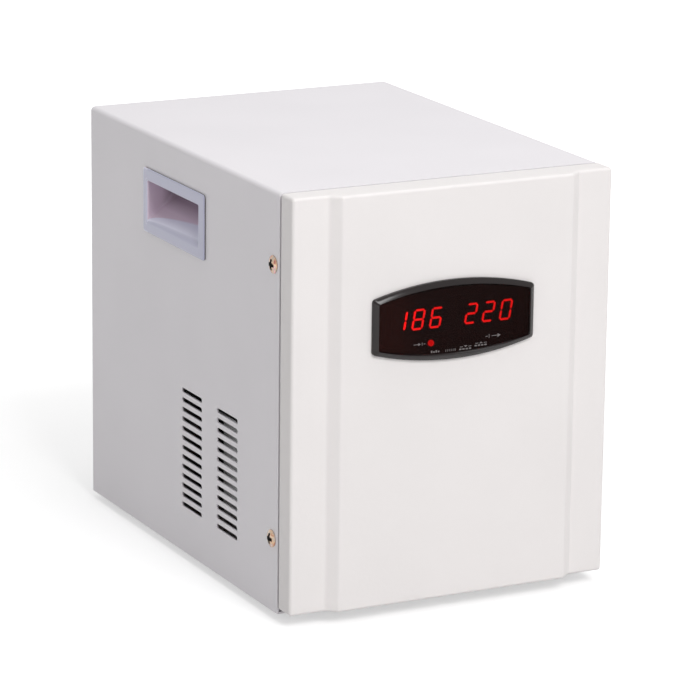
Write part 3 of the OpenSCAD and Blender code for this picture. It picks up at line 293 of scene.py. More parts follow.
# Materials
def feed(node, inputs):
    """Links each named input to a socket, or sets it to a value."""
    for name, value in inputs.items():
        if isinstance(value, bpy.types.NodeSocket):
            node.id_data.links.new(value, node.inputs[name])
        else:
            node.inputs[name].default_value = value


def add_node(tree, kind, inputs=None, **properties):
    node = tree.nodes.new(kind)
    for name, value in properties.items():
        setattr(node, name, value)
    feed(node, inputs or {})
    return node


def coordinates(tree):
    return add_node(tree, "ShaderNodeTexCoord").outputs["Object"]


def axes_of(tree):
    return add_node(tree, "ShaderNodeSeparateXYZ", {"Vector": coordinates(tree)}).outputs


def noise(tree, scale, detail=2.0):
    inputs = {"Vector": coordinates(tree), "Scale": scale, "Detail": detail}
    return add_node(tree, "ShaderNodeTexNoise", inputs).outputs["Fac"]


def ramp(tree, fac, stops):
    """A colour ramp from (place, colour) stops."""
    node = add_node(tree, "ShaderNodeValToRGB", {"Fac": fac})
    line = node.color_ramp
    while len(line.elements) < len(stops):
        line.elements.new(0.5)
    for element, (place, color) in zip(line.elements, stops):
        element.position = place
        element.color = (*color, 1)
    return node.outputs["Color"]


def spread(tree, fac, low, high, start=NOISE_LOW, end=NOISE_HIGH):
    """The factor, which runs from start to end, spread from low to high."""
    inputs = {"Value": fac, "From Min": start, "From Max": end, "To Min": low, "To Max": high}
    return add_node(tree, "ShaderNodeMapRange", inputs).outputs["Result"]


def varied(tree, fac, color, share):
    """A colour that grows darker and lighter by a share."""
    tinted = lambda part: tuple(max(0.0, min(1.0, c * (1 + part))) for c in color)
    return ramp(tree, fac, [(NOISE_LOW, tinted(-share)), (NOISE_HIGH, tinted(share))])


def bump(tree, height, depth, below=None):
    """A normal from a height, on top of the normal below it."""
    inputs = {"Height": height, "Distance": depth}
    if below:
        inputs["Normal"] = below
    return add_node(tree, "ShaderNodeBump", inputs).outputs["Normal"]


def math_node(tree, operation, a, b=0.0):
    """The result of one sum on sockets or numbers."""
    return add_node(tree, "ShaderNodeMath", {0: a, 1: b}, operation=operation).outputs[0]


def new_material(name):
    material = bpy.data.materials.new(name)
    material.use_nodes = True
    return material, material.node_tree


def dress(material, color, rough, normal=None, metallic=0.0, specular=0.5, coat=0.0, more=None):
    """Feeds a material's shader, which holds the constant values itself."""
    inputs = {
        "Base Color": color, "Roughness": rough, "Metallic": metallic, "Specular IOR Level": specular,
        "Coat Weight": coat, "Coat Roughness": COAT_ROUGH
    }
    if normal:
        inputs["Normal"] = normal
    feed(material.node_tree.nodes["Principled BSDF"], {**inputs, **(more or {})})
    return material


def plain_finish(name, color, rough, vary=0.05, patch=90, grain=900, depth=0.02 * MM, **shine):
    """A finish whose colour and roughness vary in soft patches, with a fine grain on its surface."""
    material, tree = new_material(name)
    patches = noise(tree, patch)
    rough = spread(tree, patches, rough * 0.88, rough * 1.12)
    return dress(material, varied(tree, patches, color, vary), rough, bump(tree, noise(tree, grain), depth), **shine)


def peel_finish(name, color, rough, peel, depth):
    """Powder coat: low rounded bumps under a satin skin, over slow waves of the sheet."""
    material, tree = new_material(name)
    fine, slow = noise(tree, peel, detail=1.0), noise(tree, WAVE_SCALE, detail=1.0)
    normal = bump(tree, fine, depth, bump(tree, slow, depth * 3))
    rough = spread(tree, fine, rough * 0.92, rough * 1.08)
    return dress(material, varied(tree, slow, color, 0.012), rough, normal, specular=0.4)


def lamination_finish(name):
    """Stacked sheets of core steel, one behind the other."""
    material, tree = new_material(name)
    inputs = {"Vector": coordinates(tree), "Scale": pi / (10 * LAMINATION_PITCH), "Distortion": 0.4}
    wave = add_node(tree, "ShaderNodeTexWave", inputs, bands_direction="Y").outputs["Fac"]
    color = ramp(tree, wave, [(0.2, (0.12, 0.12, 0.13)), (0.8, (0.3, 0.3, 0.31))])
    rough = spread(tree, noise(tree, 300), 0.36, 0.54)
    return dress(material, color, rough, bump(tree, wave, 0.1 * MM), metallic=0.8)


def board_finish(name):
    """Circuit board: green solder mask over lighter copper paths."""
    material, tree = new_material(name)
    inputs = {"Vector": coordinates(tree), "Scale": 160}
    cells = add_node(tree, "ShaderNodeTexVoronoi", inputs, feature="DISTANCE_TO_EDGE").outputs["Distance"]
    color = ramp(tree, cells, [(0.04, (0.05, 0.22, 0.08)), (0.12, (0.01, 0.09, 0.04))])
    return dress(material, color, spread(tree, noise(tree, 500), 0.3, 0.42), bump(tree, cells, 0.05 * MM), coat=0.4)


def zinc_finish(name, stops, rough):
    """Passivated zinc, whose thin film shows patches of several colours."""
    material, tree = new_material(name)
    rough = spread(tree, noise(tree, 700), rough * 0.7, rough * 1.3)
    normal = bump(tree, noise(tree, 1500), 0.01 * MM)
    return dress(material, ramp(tree, noise(tree, 260, detail=3.0), stops), rough, normal, metallic=1.0)


def glow_finish(name, color, strength):
    """A lit diffuser, a little brighter in places."""
    material, tree = new_material(name)
    patches = noise(tree, 500)
    glow = varied(tree, patches, color, 0.08)
    more = {"Emission Color": glow, "Emission Strength": strength}
    return dress(material, glow, spread(tree, patches, 0.36, 0.44), specular=0.2, more=more)


def handle_finish(name, color):
    """Glossy moulded plastic, with painted light and shade in its recess: a paler, painted-lit ramp, a darker plum
    cup and painted shade that grows with depth.
    """
    material, tree = new_material(name)
    calc = lambda *values: math_node(tree, *values)
    place = axes_of(tree)
    sunk = calc("SUBTRACT", HALF_W + FLANGE_T, calc("ABSOLUTE", place["X"]))
    from_rear = calc("MAXIMUM", calc("SUBTRACT", CUP_Y1, place["Y"]), 0.1 * MM)
    turn = calc("DIVIDE", calc("DIVIDE", calc("MULTIPLY", sunk, sunk), from_rear), 4 * RECESS_SHADE_TURN)
    # Painted light on the ramp below the lip, painted shade in the cup beyond it
    ramp_light_paint, inner, white = (0.84, 0.84, 1.0), (0.76, 0.62, 0.74), (1, 1, 1)
    surface = ramp(tree, turn, [(0.0, color), (0.02, ramp_light_paint), (0.22, ramp_light_paint), (0.29, inner)])
    # Painted shade: the recess darkens with depth
    deep = calc("DIVIDE", sunk, RECESS_SHADE_DEPTH)
    depth_shade_paint = ramp(tree, deep, [(0.0, white), (0.5, white), (0.84, (0.56, 0.54, 0.55))])
    inputs = {0: 1.0, MIX_A: surface, MIX_B: depth_shade_paint}
    mixed = add_node(tree, "ShaderNodeMix", inputs, data_type="RGBA", blend_type="MULTIPLY").outputs[MIX_RESULT]
    normal = bump(tree, noise(tree, 420), 0.003 * MM)
    return dress(material, mixed, spread(tree, noise(tree, 120), 0.19, 0.25), normal)


def window_finish(name):
    """Smoked acrylic with a faint haze, and painted light: lighter and redder towards its left end."""
    material, tree = new_material(name)
    stops = [
        (0.0, (0.08, 0.02, 0.016)), (0.16, (0.068, 0.018, 0.014)), (0.3, (0.042, 0.014, 0.012)),
        (1.0, (0.034, 0.007, 0.005))
    ]
    # Painted light: the pane's colour runs lighter and redder towards its left end
    color = ramp(tree, spread(tree, axes_of(tree)["X"], 0.0, 1.0, BEZEL_LO.x, BEZEL_HI.x), stops)
    more = {"Transmission Weight": 0.8, "IOR": 1.1}
    return dress(material, color, spread(tree, noise(tree, 40), 0.01, 0.03), more=more)


GOLD = [(0.32, (0.4, 0.13, 0.12)), (0.45, (0.6, 0.42, 0.28)), (0.58, (0.44, 0.38, 0.33)), (0.7, (0.72, 0.38, 0.38))]
SILVER = [(0.3, (0.62, 0.64, 0.66)), (0.5, (0.72, 0.73, 0.72)), (0.7, (0.66, 0.68, 0.74))]
MATT = dict(rough=0.8, vary=0.1, patch=20, grain=20, depth=0.001 * MM, specular=0.0)
PLAIN = {
    "bare_steel": dict(color=(0.56, 0.57, 0.58), rough=0.38, grain=1400, metallic=0.9),
    # Near-black finish for the faces inside the cover screws' cross recesses
    "screw_recess": dict(color=(0.012, 0.01, 0.009), rough=0.6, vary=0.3, specular=0.3),
    "foot_rubber": dict(color=(0.03, 0.03, 0.032), rough=0.75, vary=0.2, depth=0.06 * MM),
    "bezel_plastic": dict(
        color=(0.007, 0.0025, 0.0025), rough=0.13, vary=0.15, patch=60, grain=120, depth=0.004 * MM, specular=0.4
    ),
    "module_black": dict(color=(0.004, 0.003, 0.003), **MATT),
    "dark_red": dict(color=(0.008, 0.003, 0.003), **MATT),
    "lamp_red": dict(color=(0.05, 0.008, 0.008), rough=0.25, vary=0.1),
    "copper_winding": dict(color=(0.55, 0.2, 0.07), rough=0.3, vary=0.15, metallic=0.9, coat=0.5),
    "insulation": dict(color=(0.45, 0.28, 0.12), rough=0.7, vary=0.12, patch=200),
    "hub_metal": dict(color=(0.6, 0.6, 0.6), rough=0.35, metallic=0.95),
    "brass_parts": dict(color=(0.72, 0.5, 0.2), rough=0.28, vary=0.08, metallic=1.0),
    "arm_plastic": dict(color=(0.42, 0.34, 0.18), rough=0.5, vary=0.08),
    "carbon": dict(color=(0.03, 0.03, 0.03), rough=0.55, vary=0.3, depth=0.05 * MM),
    "gear_nylon": dict(color=(0.78, 0.75, 0.66), rough=0.45, vary=0.03),
    "motor_can": dict(color=(0.6, 0.61, 0.62), rough=0.3, metallic=0.95),
    "switch_plastic": dict(color=(0.03, 0.035, 0.06), rough=0.4, vary=0.15),
    "relay_blue": dict(color=(0.02, 0.08, 0.32), rough=0.3, vary=0.1),
    "capacitor_sleeve": dict(color=(0.02, 0.025, 0.08), rough=0.25, vary=0.15),
    "breaker_grey": dict(color=(0.55, 0.55, 0.53), rough=0.42, vary=0.03),
    "black_plastic": dict(color=(0.02, 0.02, 0.022), rough=0.42, vary=0.15),
    "socket_plastic": dict(color=(0.78, 0.77, 0.74), rough=0.3, vary=0.02),
    "button_red": dict(color=(0.5, 0.02, 0.02), rough=0.3, vary=0.08)
}
FINISHES = {name: plain_finish(name, **values) for name, values in PLAIN.items()}
SPECIAL = {
    "cover_paint": (peel_finish, (0.85, 0.82, 0.85), 0.42, 700, 0.012 * MM),
    "front_paint": (peel_finish, (0.87, 0.835, 0.828), 0.45, 420, 0.07 * MM),
    "handle_plastic": (handle_finish, (0.535, 0.535, 0.69)),
    "gold_zinc": (zinc_finish, GOLD, 0.22),
    "bright_zinc": (zinc_finish, SILVER, 0.25),
    "smoked_window": (window_finish,),
    "circuit_board": (board_finish,),
    "lit_red": (glow_finish, (1.0, 0.018, 0.025), 32),
    "lamination": (lamination_finish,)
}
FINISHES.update({name: make(name, *values) for name, (make, *values) in SPECIAL.items()})
LAMP_LIT = glow_finish("lamp_lit", (1.0, 0.002, 0.008), 18)
MARK_GREY = plain_finish("mark_grey", (0.15, 0.135, 0.135), 0.6, vary=0.04)
MARK_DARK = plain_finish("mark_dark", (0.05, 0.05, 0.055), 0.6, vary=0.1)


# Mesh helpers
def bridge(bm, a, b, count, skipped=()):
    """Faces between two rows of vertices."""
    for i in range(count):
        if i not in skipped:
            j = (i + 1) % len(a)
            bm.faces.new((a[i], a[j], b[j], b[i]))


def loft(bm, rings, capped=False):
    """Rows of vertices from rings of equal count, with faces between them and, if capped, at both ends."""
    rows = [[bm.verts.new(p) for p in ring] for ring in rings]
    for a, b in zip(rows, rows[1:]):
        bridge(bm, a, b, len(a))
    if capped:
        bm.faces.new(rows[0])
        bm.faces.new(rows[-1])
    return rows


def fill(bm, loops):
    """A flat face inside the first loop and outside the others."""
    pairs = [pair for loop in loops for pair in zip(loop, loop[1:] + loop[:1])]
    edges = [bm.edges.get(pair) or bm.edges.new(pair) for pair in pairs]
    bmesh.ops.triangle_fill(bm, use_beauty=True, edges=edges)


def fill_ends(bm, walls):
    """Flat faces at both ends of an outer wall, round the walls inside it."""
    for end in (0, -1):
        fill(bm, [rows[end] for rows in walls])


def mesh_object(name, bm):
    bmesh.ops.recalc_face_normals(bm, faces=bm.faces)
    mesh = bpy.data.meshes.new(name)
    bm.to_mesh(mesh)
    bm.free()
    return add_object(name, mesh)


def make_piece(name, bm, slot, node=None, body="cabinet", finish=None, sharp=SMOOTH_ANGLE):
    """One piece of the object, with smooth faces that meet sharply past an angle."""
    bmesh.ops.remove_doubles(bm, verts=bm.verts, dist=WELD)
    bmesh.ops.dissolve_degenerate(bm, edges=bm.edges, dist=WELD)
    piece = mesh_object(name, bm)
    mesh = piece.data
    mesh.materials.append(finish or FINISHES[slot])
    mesh.polygons.foreach_set("use_smooth", [True] * len(mesh.polygons))
    mesh.set_sharp_from_angle(angle=radians(sharp))
    piece.modifiers.new("weighted", "WEIGHTED_NORMAL").keep_sharp = True
    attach(piece, body)
    if node:
        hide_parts(node)
    return piece


def spans(node):
    """A node's lower corner, upper corner, middle and half size."""
    low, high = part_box(node)
    return low, high, (low + high) / 2, (high - low) / 2


def quarter(steps):
    """Angles from 0 to a right angle."""
    return [pi / 2 * i / steps for i in range(steps + 1)]


def rounding(r, steps=3):
    """What a rounded edge takes off, as (along one side, along the other) pairs."""
    return [(r * (1 - sin(a)), r * (1 - cos(a))) for a in quarter(steps)]


def placed(place, ring, depth):
    return [place(u, v, depth) for u, v in ring]


def between(a, b, share):
    """A loop on the way from loop a to loop b."""
    return [(p[0] + (q[0] - p[0]) * share, p[1] + (q[1] - p[1]) * share) for p, q in zip(a, b)]


def turned(points, angle):
    """Points swung about the origin."""
    c, s = cos(angle), sin(angle)
    return [(x * c - y * s, x * s + y * c) for x, y in points]


def ring_rect(x0, x1, z0, z1, r, steps=6):
    """A rectangle with rounded corners, anticlockwise from its right side."""
    points = []
    for corner, (cx, cz) in enumerate(((x1 - r, z1 - r), (x0 + r, z1 - r), (x0 + r, z0 + r), (x1 - r, z0 + r))):
        for a in quarter(steps):
            turn = a + corner * pi / 2
            points.append((cx + r * cos(turn), cz + r * sin(turn)))
    return points


def ring_grown(bounds, grow, r, steps=6):
    """A rounded rectangle from (y0, y1, z0, z1), moved outwards by grow."""
    y0, y1, z0, z1 = bounds
    return ring_rect(y0 - grow, y1 + grow, z0 - grow, z1 + grow, r, steps)


def ring_about(half_w, half_h, r):
    """A rounded rectangle about the origin."""
    return ring_rect(-half_w, half_w, -half_h, half_h, r)


def ring_slot(cx, cz, length, height, steps=8):
    """A slot with round ends."""
    reach, r = (length - height) / 2, height / 2
    points = []
    for side in (1, -1):
        for i in range(steps + 1):
            turn = pi * i / steps - pi / 2
            points.append((cx + side * (reach + r * cos(turn)), cz + side * r * sin(turn)))
    return points


def ring_circle(cx, cz, r, steps=24):
    turns = [2 * pi * i / steps for i in range(steps)]
    return [(cx + r * cos(a), cz + r * sin(a)) for a in turns]


def ring_barrel(w, side_h, mid_h, r, grow=0.0, steps=24, corner_steps=5):
    """A barrel outline about the display's middle, with rounded corners, moved outwards by grow."""
    sag = (mid_h - side_h) / 2
    arc_r = (w * w / 4 + sag * sag) / (2 * sag)
    arc_z = mid_h / 2 - arc_r
    hub_x = w / 2 - r
    hub_z = arc_z + sqrt((arc_r - r) ** 2 - hub_x ** 2)
    turn = atan2(hub_z - arc_z, hub_x)
    quad = []
    for i in range(corner_steps + 1):
        a = turn * i / corner_steps
        quad.append((hub_x + (r + grow) * cos(a), hub_z + (r + grow) * sin(a)))
    for i in range(1, steps + 1):
        a = turn + (pi / 2 - turn) * i / steps
        quad.append(((arc_r + grow) * cos(a), arc_z + (arc_r + grow) * sin(a)))
    upper = quad + [(-x, z) for x, z in reversed(quad[:-1])]
    return [(X_DISPLAY + s * x, Z_DISPLAY + s * z) for s in (1, -1) for x, z in upper]


def ring_view(grow):
    """The display's opening, moved outwards by grow."""
    return ring_barrel(VIEW_W, VIEW_SIDE_H, VIEW_MID_H, VIEW_R, grow)


def hole_walls(bm, ring, edge, thick, place):
    """The wall of a hole, rounded at its outer edge. ring(grow) is its outline."""
    rings = [placed(place, ring(grow), depth) for grow, depth in rounding(edge)]
    return loft(bm, rings + [placed(place, ring(0), thick)])


def front_rings(outline, edge, place, steps=3):
    """Rings round a front edge that is rounded. outline(w) is drawn in by w."""
    return [placed(place, outline(w), depth) for depth, w in reversed(rounding(edge, steps))]


def plate(bm, outline, holes, edge, thick, place):
    """A closed plate with holes, whose front edges are rounded. outline(w) is drawn in by w."""
    rows = loft(bm, front_rings(outline, edge, place) + [placed(place, outline(0), thick)])
    fill_ends(bm, [rows] + [hole_walls(bm, ring, edge, thick, place) for ring in holes])


def stepped_wall(bm, face, edge, step, body, deep, place, steps=3):
    """A wall with a rounded front as face(w) down to the step, and as body from there on."""
    tail = ((face(0), step), (body, step), (body, deep))
    return loft(bm, front_rings(face, edge, place, steps) + [placed(place, *station) for station in tail])


def lathe(bm, profile, place, steps=48, ripple=None):
    """A turned solid from (radius, height) pairs; ends that lie on the axis close it."""
    rings = []
    for r, h in profile:
        ring = []
        for i in range(steps):
            a = 2 * pi * i / steps
            wide = r + (ripple(r, h, a) if ripple else 0)
            ring.append(place(wide * cos(a), wide * sin(a), h))
        rings.append(ring)
    loft(bm, rings)


def raised_marks(name, shapes, place, form, slot, finish):
    """Thin printed shapes. form gives their thickness, the height of their edge and its slope."""
    thick, edge, slope = form
    bm = bmesh.new()
    for shape in shapes:
        middle = [sum(values) / len(shape) for values in zip(*shape)]
        drawn = between(shape, [middle] * len(shape), slope)
        rings = [placed(place, ring, depth) for ring, depth in ((drawn, -thick), (shape, -edge), (shape, 0))]
        loft(bm, rings, capped=True)
    make_piece(name, bm, slot, finish=finish)


def stroke_box(x0, x1, z0, z1):
    return [(x0, z0), (x1, z0), (x1, z1), (x0, z1)]


def facing(side):
    """Place function for parts on a side of the cabinet: (along Y, up, depth into the side)."""
    return lambda y, z, depth: Vector((side * (HALF_W - depth), y, z))


def front_place(y_front, x=0.0, z=0.0):
    """Place function for parts that face the front: (across, up, depth behind the plane)."""
    return lambda u, v, depth: Vector((x + u, y_front + depth, z + v))


def rear_place(y_rear, x=0.0, z=0.0):
    """Place function for parts that face the rear: (across, up, depth ahead of the plane)."""
    return lambda u, v, depth: Vector((x + u, y_rear - depth, z + v))


def across_place(x, y, z):
    """Place function for parts turned about an axis along X: (along Y, up, along the axis)."""
    return lambda u, v, h: Vector((x + h, y + u, z + v))


def up_place(x, y):
    """Place function for parts turned about an upright axis: (along X, along Y, height)."""
    return lambda u, v, h: Vector((x + u, y + v, h))


# Steel cover
def cover_section():
    """(depth, y) pairs round the sheet, from its front edge to the end of its rear lip."""
    points = [(depth, Y_COVER + back) for depth, back in rounding(CUT_EDGE)]
    points += [(depth, Y_BACK - ahead) for ahead, depth in rounding(FOLD_R, 5)]
    points += [(LIP_W - CUT_EDGE, Y_BACK), (LIP_W, Y_BACK - CUT_EDGE), (LIP_W, Y_BACK - SHEET)]
    points += [(SHEET + depth, Y_BACK - SHEET - ahead) for ahead, depth in reversed(rounding(FOLD_R - SHEET))]
    return points + [(SHEET, Y_COVER)]


def cover_point(side, turn, depth, y):
    hub = max(BEND_R, depth)
    reach = hub - depth
    x = HALF_W - hub + reach * cos(turn)
    return Vector((side * x, y, Z_TOP - hub + reach * sin(turn)))


def side_holes():
    holes = [
        lambda grow, c=c, r=r: ring_slot(
            Y_COVER + VENT_BACK + SLOT_L / 2 + c * COLUMN_PITCH, Z_CAB + VENT_LOW + r * SLOT_PITCH,
            SLOT_L + 2 * grow, SLOT_H + 2 * grow
        )
        for c in range(SLOT_COLUMNS) for r in range(SLOT_ROWS)
    ]
    holes += [lambda grow, z=z: ring_circle(Y_COVER + SCREW_BACK, z, SCREW_HOLE_R + grow) for z in SCREW_ZS]
    return holes + [lambda grow: ring_grown(CUP_BOX, CUP_WALL + CUP_LOOSE + grow, 1 * MM, 2)]


def make_cover():
    bm = bmesh.new()
    section = cover_section()
    turns = quarter(BEND_STEPS)
    stations = [(-1, None)] + [(-1, a) for a in turns] + [(1, a) for a in reversed(turns)] + [(1, None)]
    rows = []
    for side, turn in stations:
        row = [cover_point(side, turn or 0.0, depth, y) for depth, y in section]
        if turn is None:
            row = [Vector((p.x, p.y, Z_CAB)) for p in row]
        rows.append([bm.verts.new(p) for p in row])
    count = len(section)
    outer = next(i for i in range(count) if section[i][0] == 0 and section[i + 1][0] == 0)
    inner = count - 2
    for k, (a, b) in enumerate(zip(rows, rows[1:])):
        bridge(bm, a, b, count, (outer, inner) if k in (0, len(rows) - 2) else ())
    bm.faces.new(rows[0])
    bm.faces.new(rows[-1])
    for side, low, high in ((-1, rows[0], rows[1]), (1, rows[-1], rows[-2])):
        sheet = [[low[i], low[i + 1], high[i + 1], high[i]] for i in (outer, inner)]
        fill_ends(bm, [sheet] + [hole_walls(bm, ring, SLOT_EDGE, SHEET, facing(side)) for ring in side_holes()])
    make_piece("steel_cover", bm, "cover_paint", "cover")


# Front panel
def rounded_path(points, radii, steps):
    """(point, outward normal) pairs along a path whose inner corners are rounded."""
    path = [Vector(p) for p in points]
    legs = [(b - a).normalized() for a, b in zip(path, path[1:])]
    outward = [Vector((d.y, -d.x)) for d in legs]
    found = [(path[0], outward[0])]
    for i, r in enumerate(radii, 1):
        d0, d1, n0 = legs[i - 1], legs[i], outward[i - 1]
        angle = d0.angle(d1)
        convex = 1 if d0.cross(d1) > 0 else -1
        start = path[i] - d0 * r * tan(angle / 2)
        hub = start - n0 * r * convex
        for k in range(steps + 1):
            share = k / steps
            swing = Matrix.Rotation(convex * angle * share, 2)
            normal = swing @ n0
            found.append((hub + normal * r * convex, normal))
    found.append((path[-1], outward[-1]))
    return found


def pan_outline():
    points = [
        (-HALF_W, Y_PAN_BACK), (-HALF_W, Y_STRIP), (-FIELD_HALF - SLOPE_W, Y_STRIP), (-FIELD_HALF, Y_FIELD),
        (FIELD_HALF, Y_FIELD), (FIELD_HALF + SLOPE_W, Y_STRIP), (HALF_W, Y_STRIP), (HALF_W, Y_PAN_BACK)
    ]
    radii = [PAN_EDGE_R, STEP_R, STEP_R, STEP_R, STEP_R, PAN_EDGE_R]
    return rounded_path(points, radii, 6)


def pan_rows(bm, outline, r, field):
    """Rows of the pan's skin, whose upper and lower edges are rounded; the field's face is left open."""
    low, high = PANEL_LO.z + PAN_TOP_R, PANEL_HI.z - PAN_TOP_R
    rows = []
    turns = quarter(6)
    for a, z, s in [(a, low, -1) for a in reversed(turns)] + [(a, high, 1) for a in turns]:
        inset = PAN_TOP_R - r * cos(a)
        rows.append([
            bm.verts.new((p.x - n.x * inset, p.y - n.y * inset, z + s * r * sin(a))) for p, n in outline
        ])
    middle = len(turns) - 1
    for k, (a, b) in enumerate(zip(rows, rows[1:])):
        bridge(bm, a, b, len(a) - 1, (field,) if k == middle else ())
    bm.faces.new(rows[0])
    bm.faces.new(rows[-1])
    low_row, high_row = rows[middle], rows[middle + 1]
    return rows, [low_row[field], low_row[field + 1], high_row[field + 1], high_row[field]]


def make_panel():
    bm = bmesh.new()
    outline = pan_outline()
    field = next(i for i in range(len(outline) - 1) if outline[i][0].x < 0 < outline[i + 1][0].x)
    outer, outer_field = pan_rows(bm, outline, PAN_TOP_R, field)
    inner, inner_field = pan_rows(bm, outline, PAN_TOP_R - SHEET, field)
    for a, b, c, d in zip(outer, outer[1:], inner, inner[1:]):
        for end in (0, -1):
            bm.faces.new((a[end], b[end], d[end], c[end]))
    for k in (0, -1):
        bm.faces.new((outer[k][0], outer[k][-1], inner[k][-1], inner[k][0]))
    ring = lambda grow: ring_view(REBATE + SKIRT_WALL + SKIRT_GAP + grow)
    walls = hole_walls(bm, ring, CUT_EDGE, SHEET, front_place(Y_FIELD))
    fill_ends(bm, [(outer_field, inner_field), walls])
    make_piece("panel_pan", bm, "front_paint", "front_panel")
    bm = bmesh.new()
    length = PANEL_HI.y - Y_STRIP - SHEET
    profile = [
        (SCREW_HOLE_R, 0), (STUD_R - CUT_EDGE, 0), (STUD_R, CUT_EDGE), (STUD_R, length),
        (0, length), (0, SCREW_L), (SCREW_HOLE_R, SCREW_L), (SCREW_HOLE_R, 0)
    ]
    for side in SIDES:
        for z in (PANEL_LO.z + STUD_INSET, PANEL_HI.z - STUD_INSET):
            lathe(bm, profile, rear_place(PANEL_HI.y, side * (HALF_W - STRIP_W / 2), z), 24)
    make_piece("panel_studs", bm, "front_paint", "front_panel")


# Display
def make_bezel():
    bm = bmesh.new()
    y_front, y_window, y_back = BEZEL_LO.y, WINDOW_LO.y, BEZEL_HI.y
    y_bevel = y_front + BEVEL_RISE
    outer = ring_barrel(BEZEL_W, BEZEL_SIDE_H, BEZEL_MID_H, BEZEL_R)
    crest = ring_barrel(
        BEZEL_W - 2 * CREST_SIDE, BEZEL_SIDE_H - 2 * CREST_END, BEZEL_MID_H - 2 * CREST_MID, CREST_R
    )
    view, rebate, skirt = ring_view(0), ring_view(REBATE), ring_view(REBATE + SKIRT_WALL)
    section = [
        (outer, Y_FIELD), (outer, y_bevel + 0.5 * MM), (between(outer, crest, 0.04), y_bevel + 0.12 * MM),
        (between(outer, crest, 0.1), y_bevel)
    ]
    for i in range(1, BEVEL_ROWS):
        share = i / BEVEL_ROWS
        lift = (1 - BEVEL_BOW) * share + BEVEL_BOW * (1 - (1 - share) ** 2)
        section.append((between(outer, crest, 0.1 + 0.88 * share), y_bevel - lift * (BEVEL_RISE - 0.04 * MM)))
    section += [
        (between(outer, crest, 0.98), y_front + 0.04 * MM), (crest, y_front),
        (between(crest, view, 0.12), y_front + 0.08 * MM), (view, y_window - 0.35 * MM), (view, y_window),
        (rebate, y_window), (rebate, y_back), (skirt, y_back), (skirt, Y_FIELD), (outer, Y_FIELD)
    ]
    loft(bm, [placed(front_place(0.0), ring, y) for ring, y in section])
    make_piece("bezel_frame", bm, "bezel_plastic", "display_bezel", sharp=BEZEL_ANGLE)


def make_window():
    bm = bmesh.new()
    outline = lambda w: ring_view(REBATE - WINDOW_LOOSE - w)
    plate(bm, outline, [], THIN_EDGE, WINDOW_HI.y - WINDOW_LO.y, front_place(WINDOW_LO.y))
    make_piece("window_pane", bm, "smoked_window", "display_window")


def make_lamps():
    lamp_r = (LAMPS_HI.z - LAMPS_LO.z) / 2
    pitch = (LAMPS_HI.x - LAMPS_LO.x - 2 * lamp_r) / 3
    z = (LAMPS_LO.z + LAMPS_HI.z) / 2
    barrel_l = LAMPS_HI.y - LAMPS_LO.y - lamp_r
    seam = barrel_l - 0.3 * MM
    collar = [(0, 0), (lamp_r * 0.96, 0), (lamp_r, 0.2 * MM), (lamp_r, seam), (0, seam)]
    dome = [(0, seam), (lamp_r, seam)]
    dome += [(lamp_r * cos(a), barrel_l + lamp_r * sin(a)) for a in quarter(8)]
    for i in range(4):
        place = rear_place(LAMPS_HI.y, LAMPS_LO.x + lamp_r + i * pitch + LAMP_NUDGE[0], z + LAMP_NUDGE[1])
        for part, profile in (("base", collar), ("dome", dome)):
            bm = bmesh.new()
            lathe(bm, profile, place, 24)
            finish = LAMP_LIT if i == 0 and part == "dome" else None
            make_piece(f"lamp_{i + 1}_{part}", bm, "lamp_red", "indicator_lamps", finish=finish)


def bar_outline(reach, width, w):
    """A bar with pointed ends, drawn in by w."""
    reach, half = reach - w * 1.4, width / 2 - w
    flat = reach - half
    return [(-reach, 0), (-flat, half), (flat, half), (reach, 0), (flat, -half), (-flat, -half)]


def segment_rings(spot, upright, reach):
    """A segment's front edge, front rim and back, as loops of (across, up)."""
    lean = tan(radians(DIGIT_SLANT))
    rings = []
    for w in (0.12 * MM, 0.0, 0.0):
        ring = bar_outline(reach, SEG_W, w)
        ring = [(spot[0] - v, spot[1] + u) if upright else (spot[0] + u, spot[1] + v) for u, v in ring]
        rings.append([(u + v * lean, v) for u, v in ring])
    return rings


def make_segments():
    side, rise = (DIGIT_W - SEG_W) / 2, (DIGIT_H - SEG_W) / 2
    spots = [
        ((0, rise), False), ((side, rise / 2), True), ((side, -rise / 2), True), ((0, -rise), False),
        ((-side, -rise / 2), True), ((-side, rise / 2), True), ((0, 0), False)
    ]
    depths = (SEGMENTS_LO.y, SEGMENTS_LO.y + THIN_EDGE, SEGMENTS_HI.y)
    for lit, slot in ((1, "lit_red"), (0, "dark_red")):
        bm = bmesh.new()
        for module, figures in (("input_display", FIGURES_IN), ("output_display", FIGURES_OUT)):
            low, high, middle, _ = spans(module)
            pitch = (high.x - low.x - MODULE_RIM) / len(figures)
            for number, figure in enumerate(figures):
                place = front_place(0.0, middle.x + (number - 1) * pitch, middle.z)
                for state, (spot, upright) in zip(figure, spots):
                    if state == lit:
                        rings = segment_rings(spot, upright, (rise / 2 if upright else side) - SEG_GAP)
                        loft(bm, [placed(place, ring, y) for ring, y in zip(rings, depths)], capped=True)
        node = "lit_segments" if lit else "dark_segments"
        make_piece(f"digit_{node}", bm, slot, node)


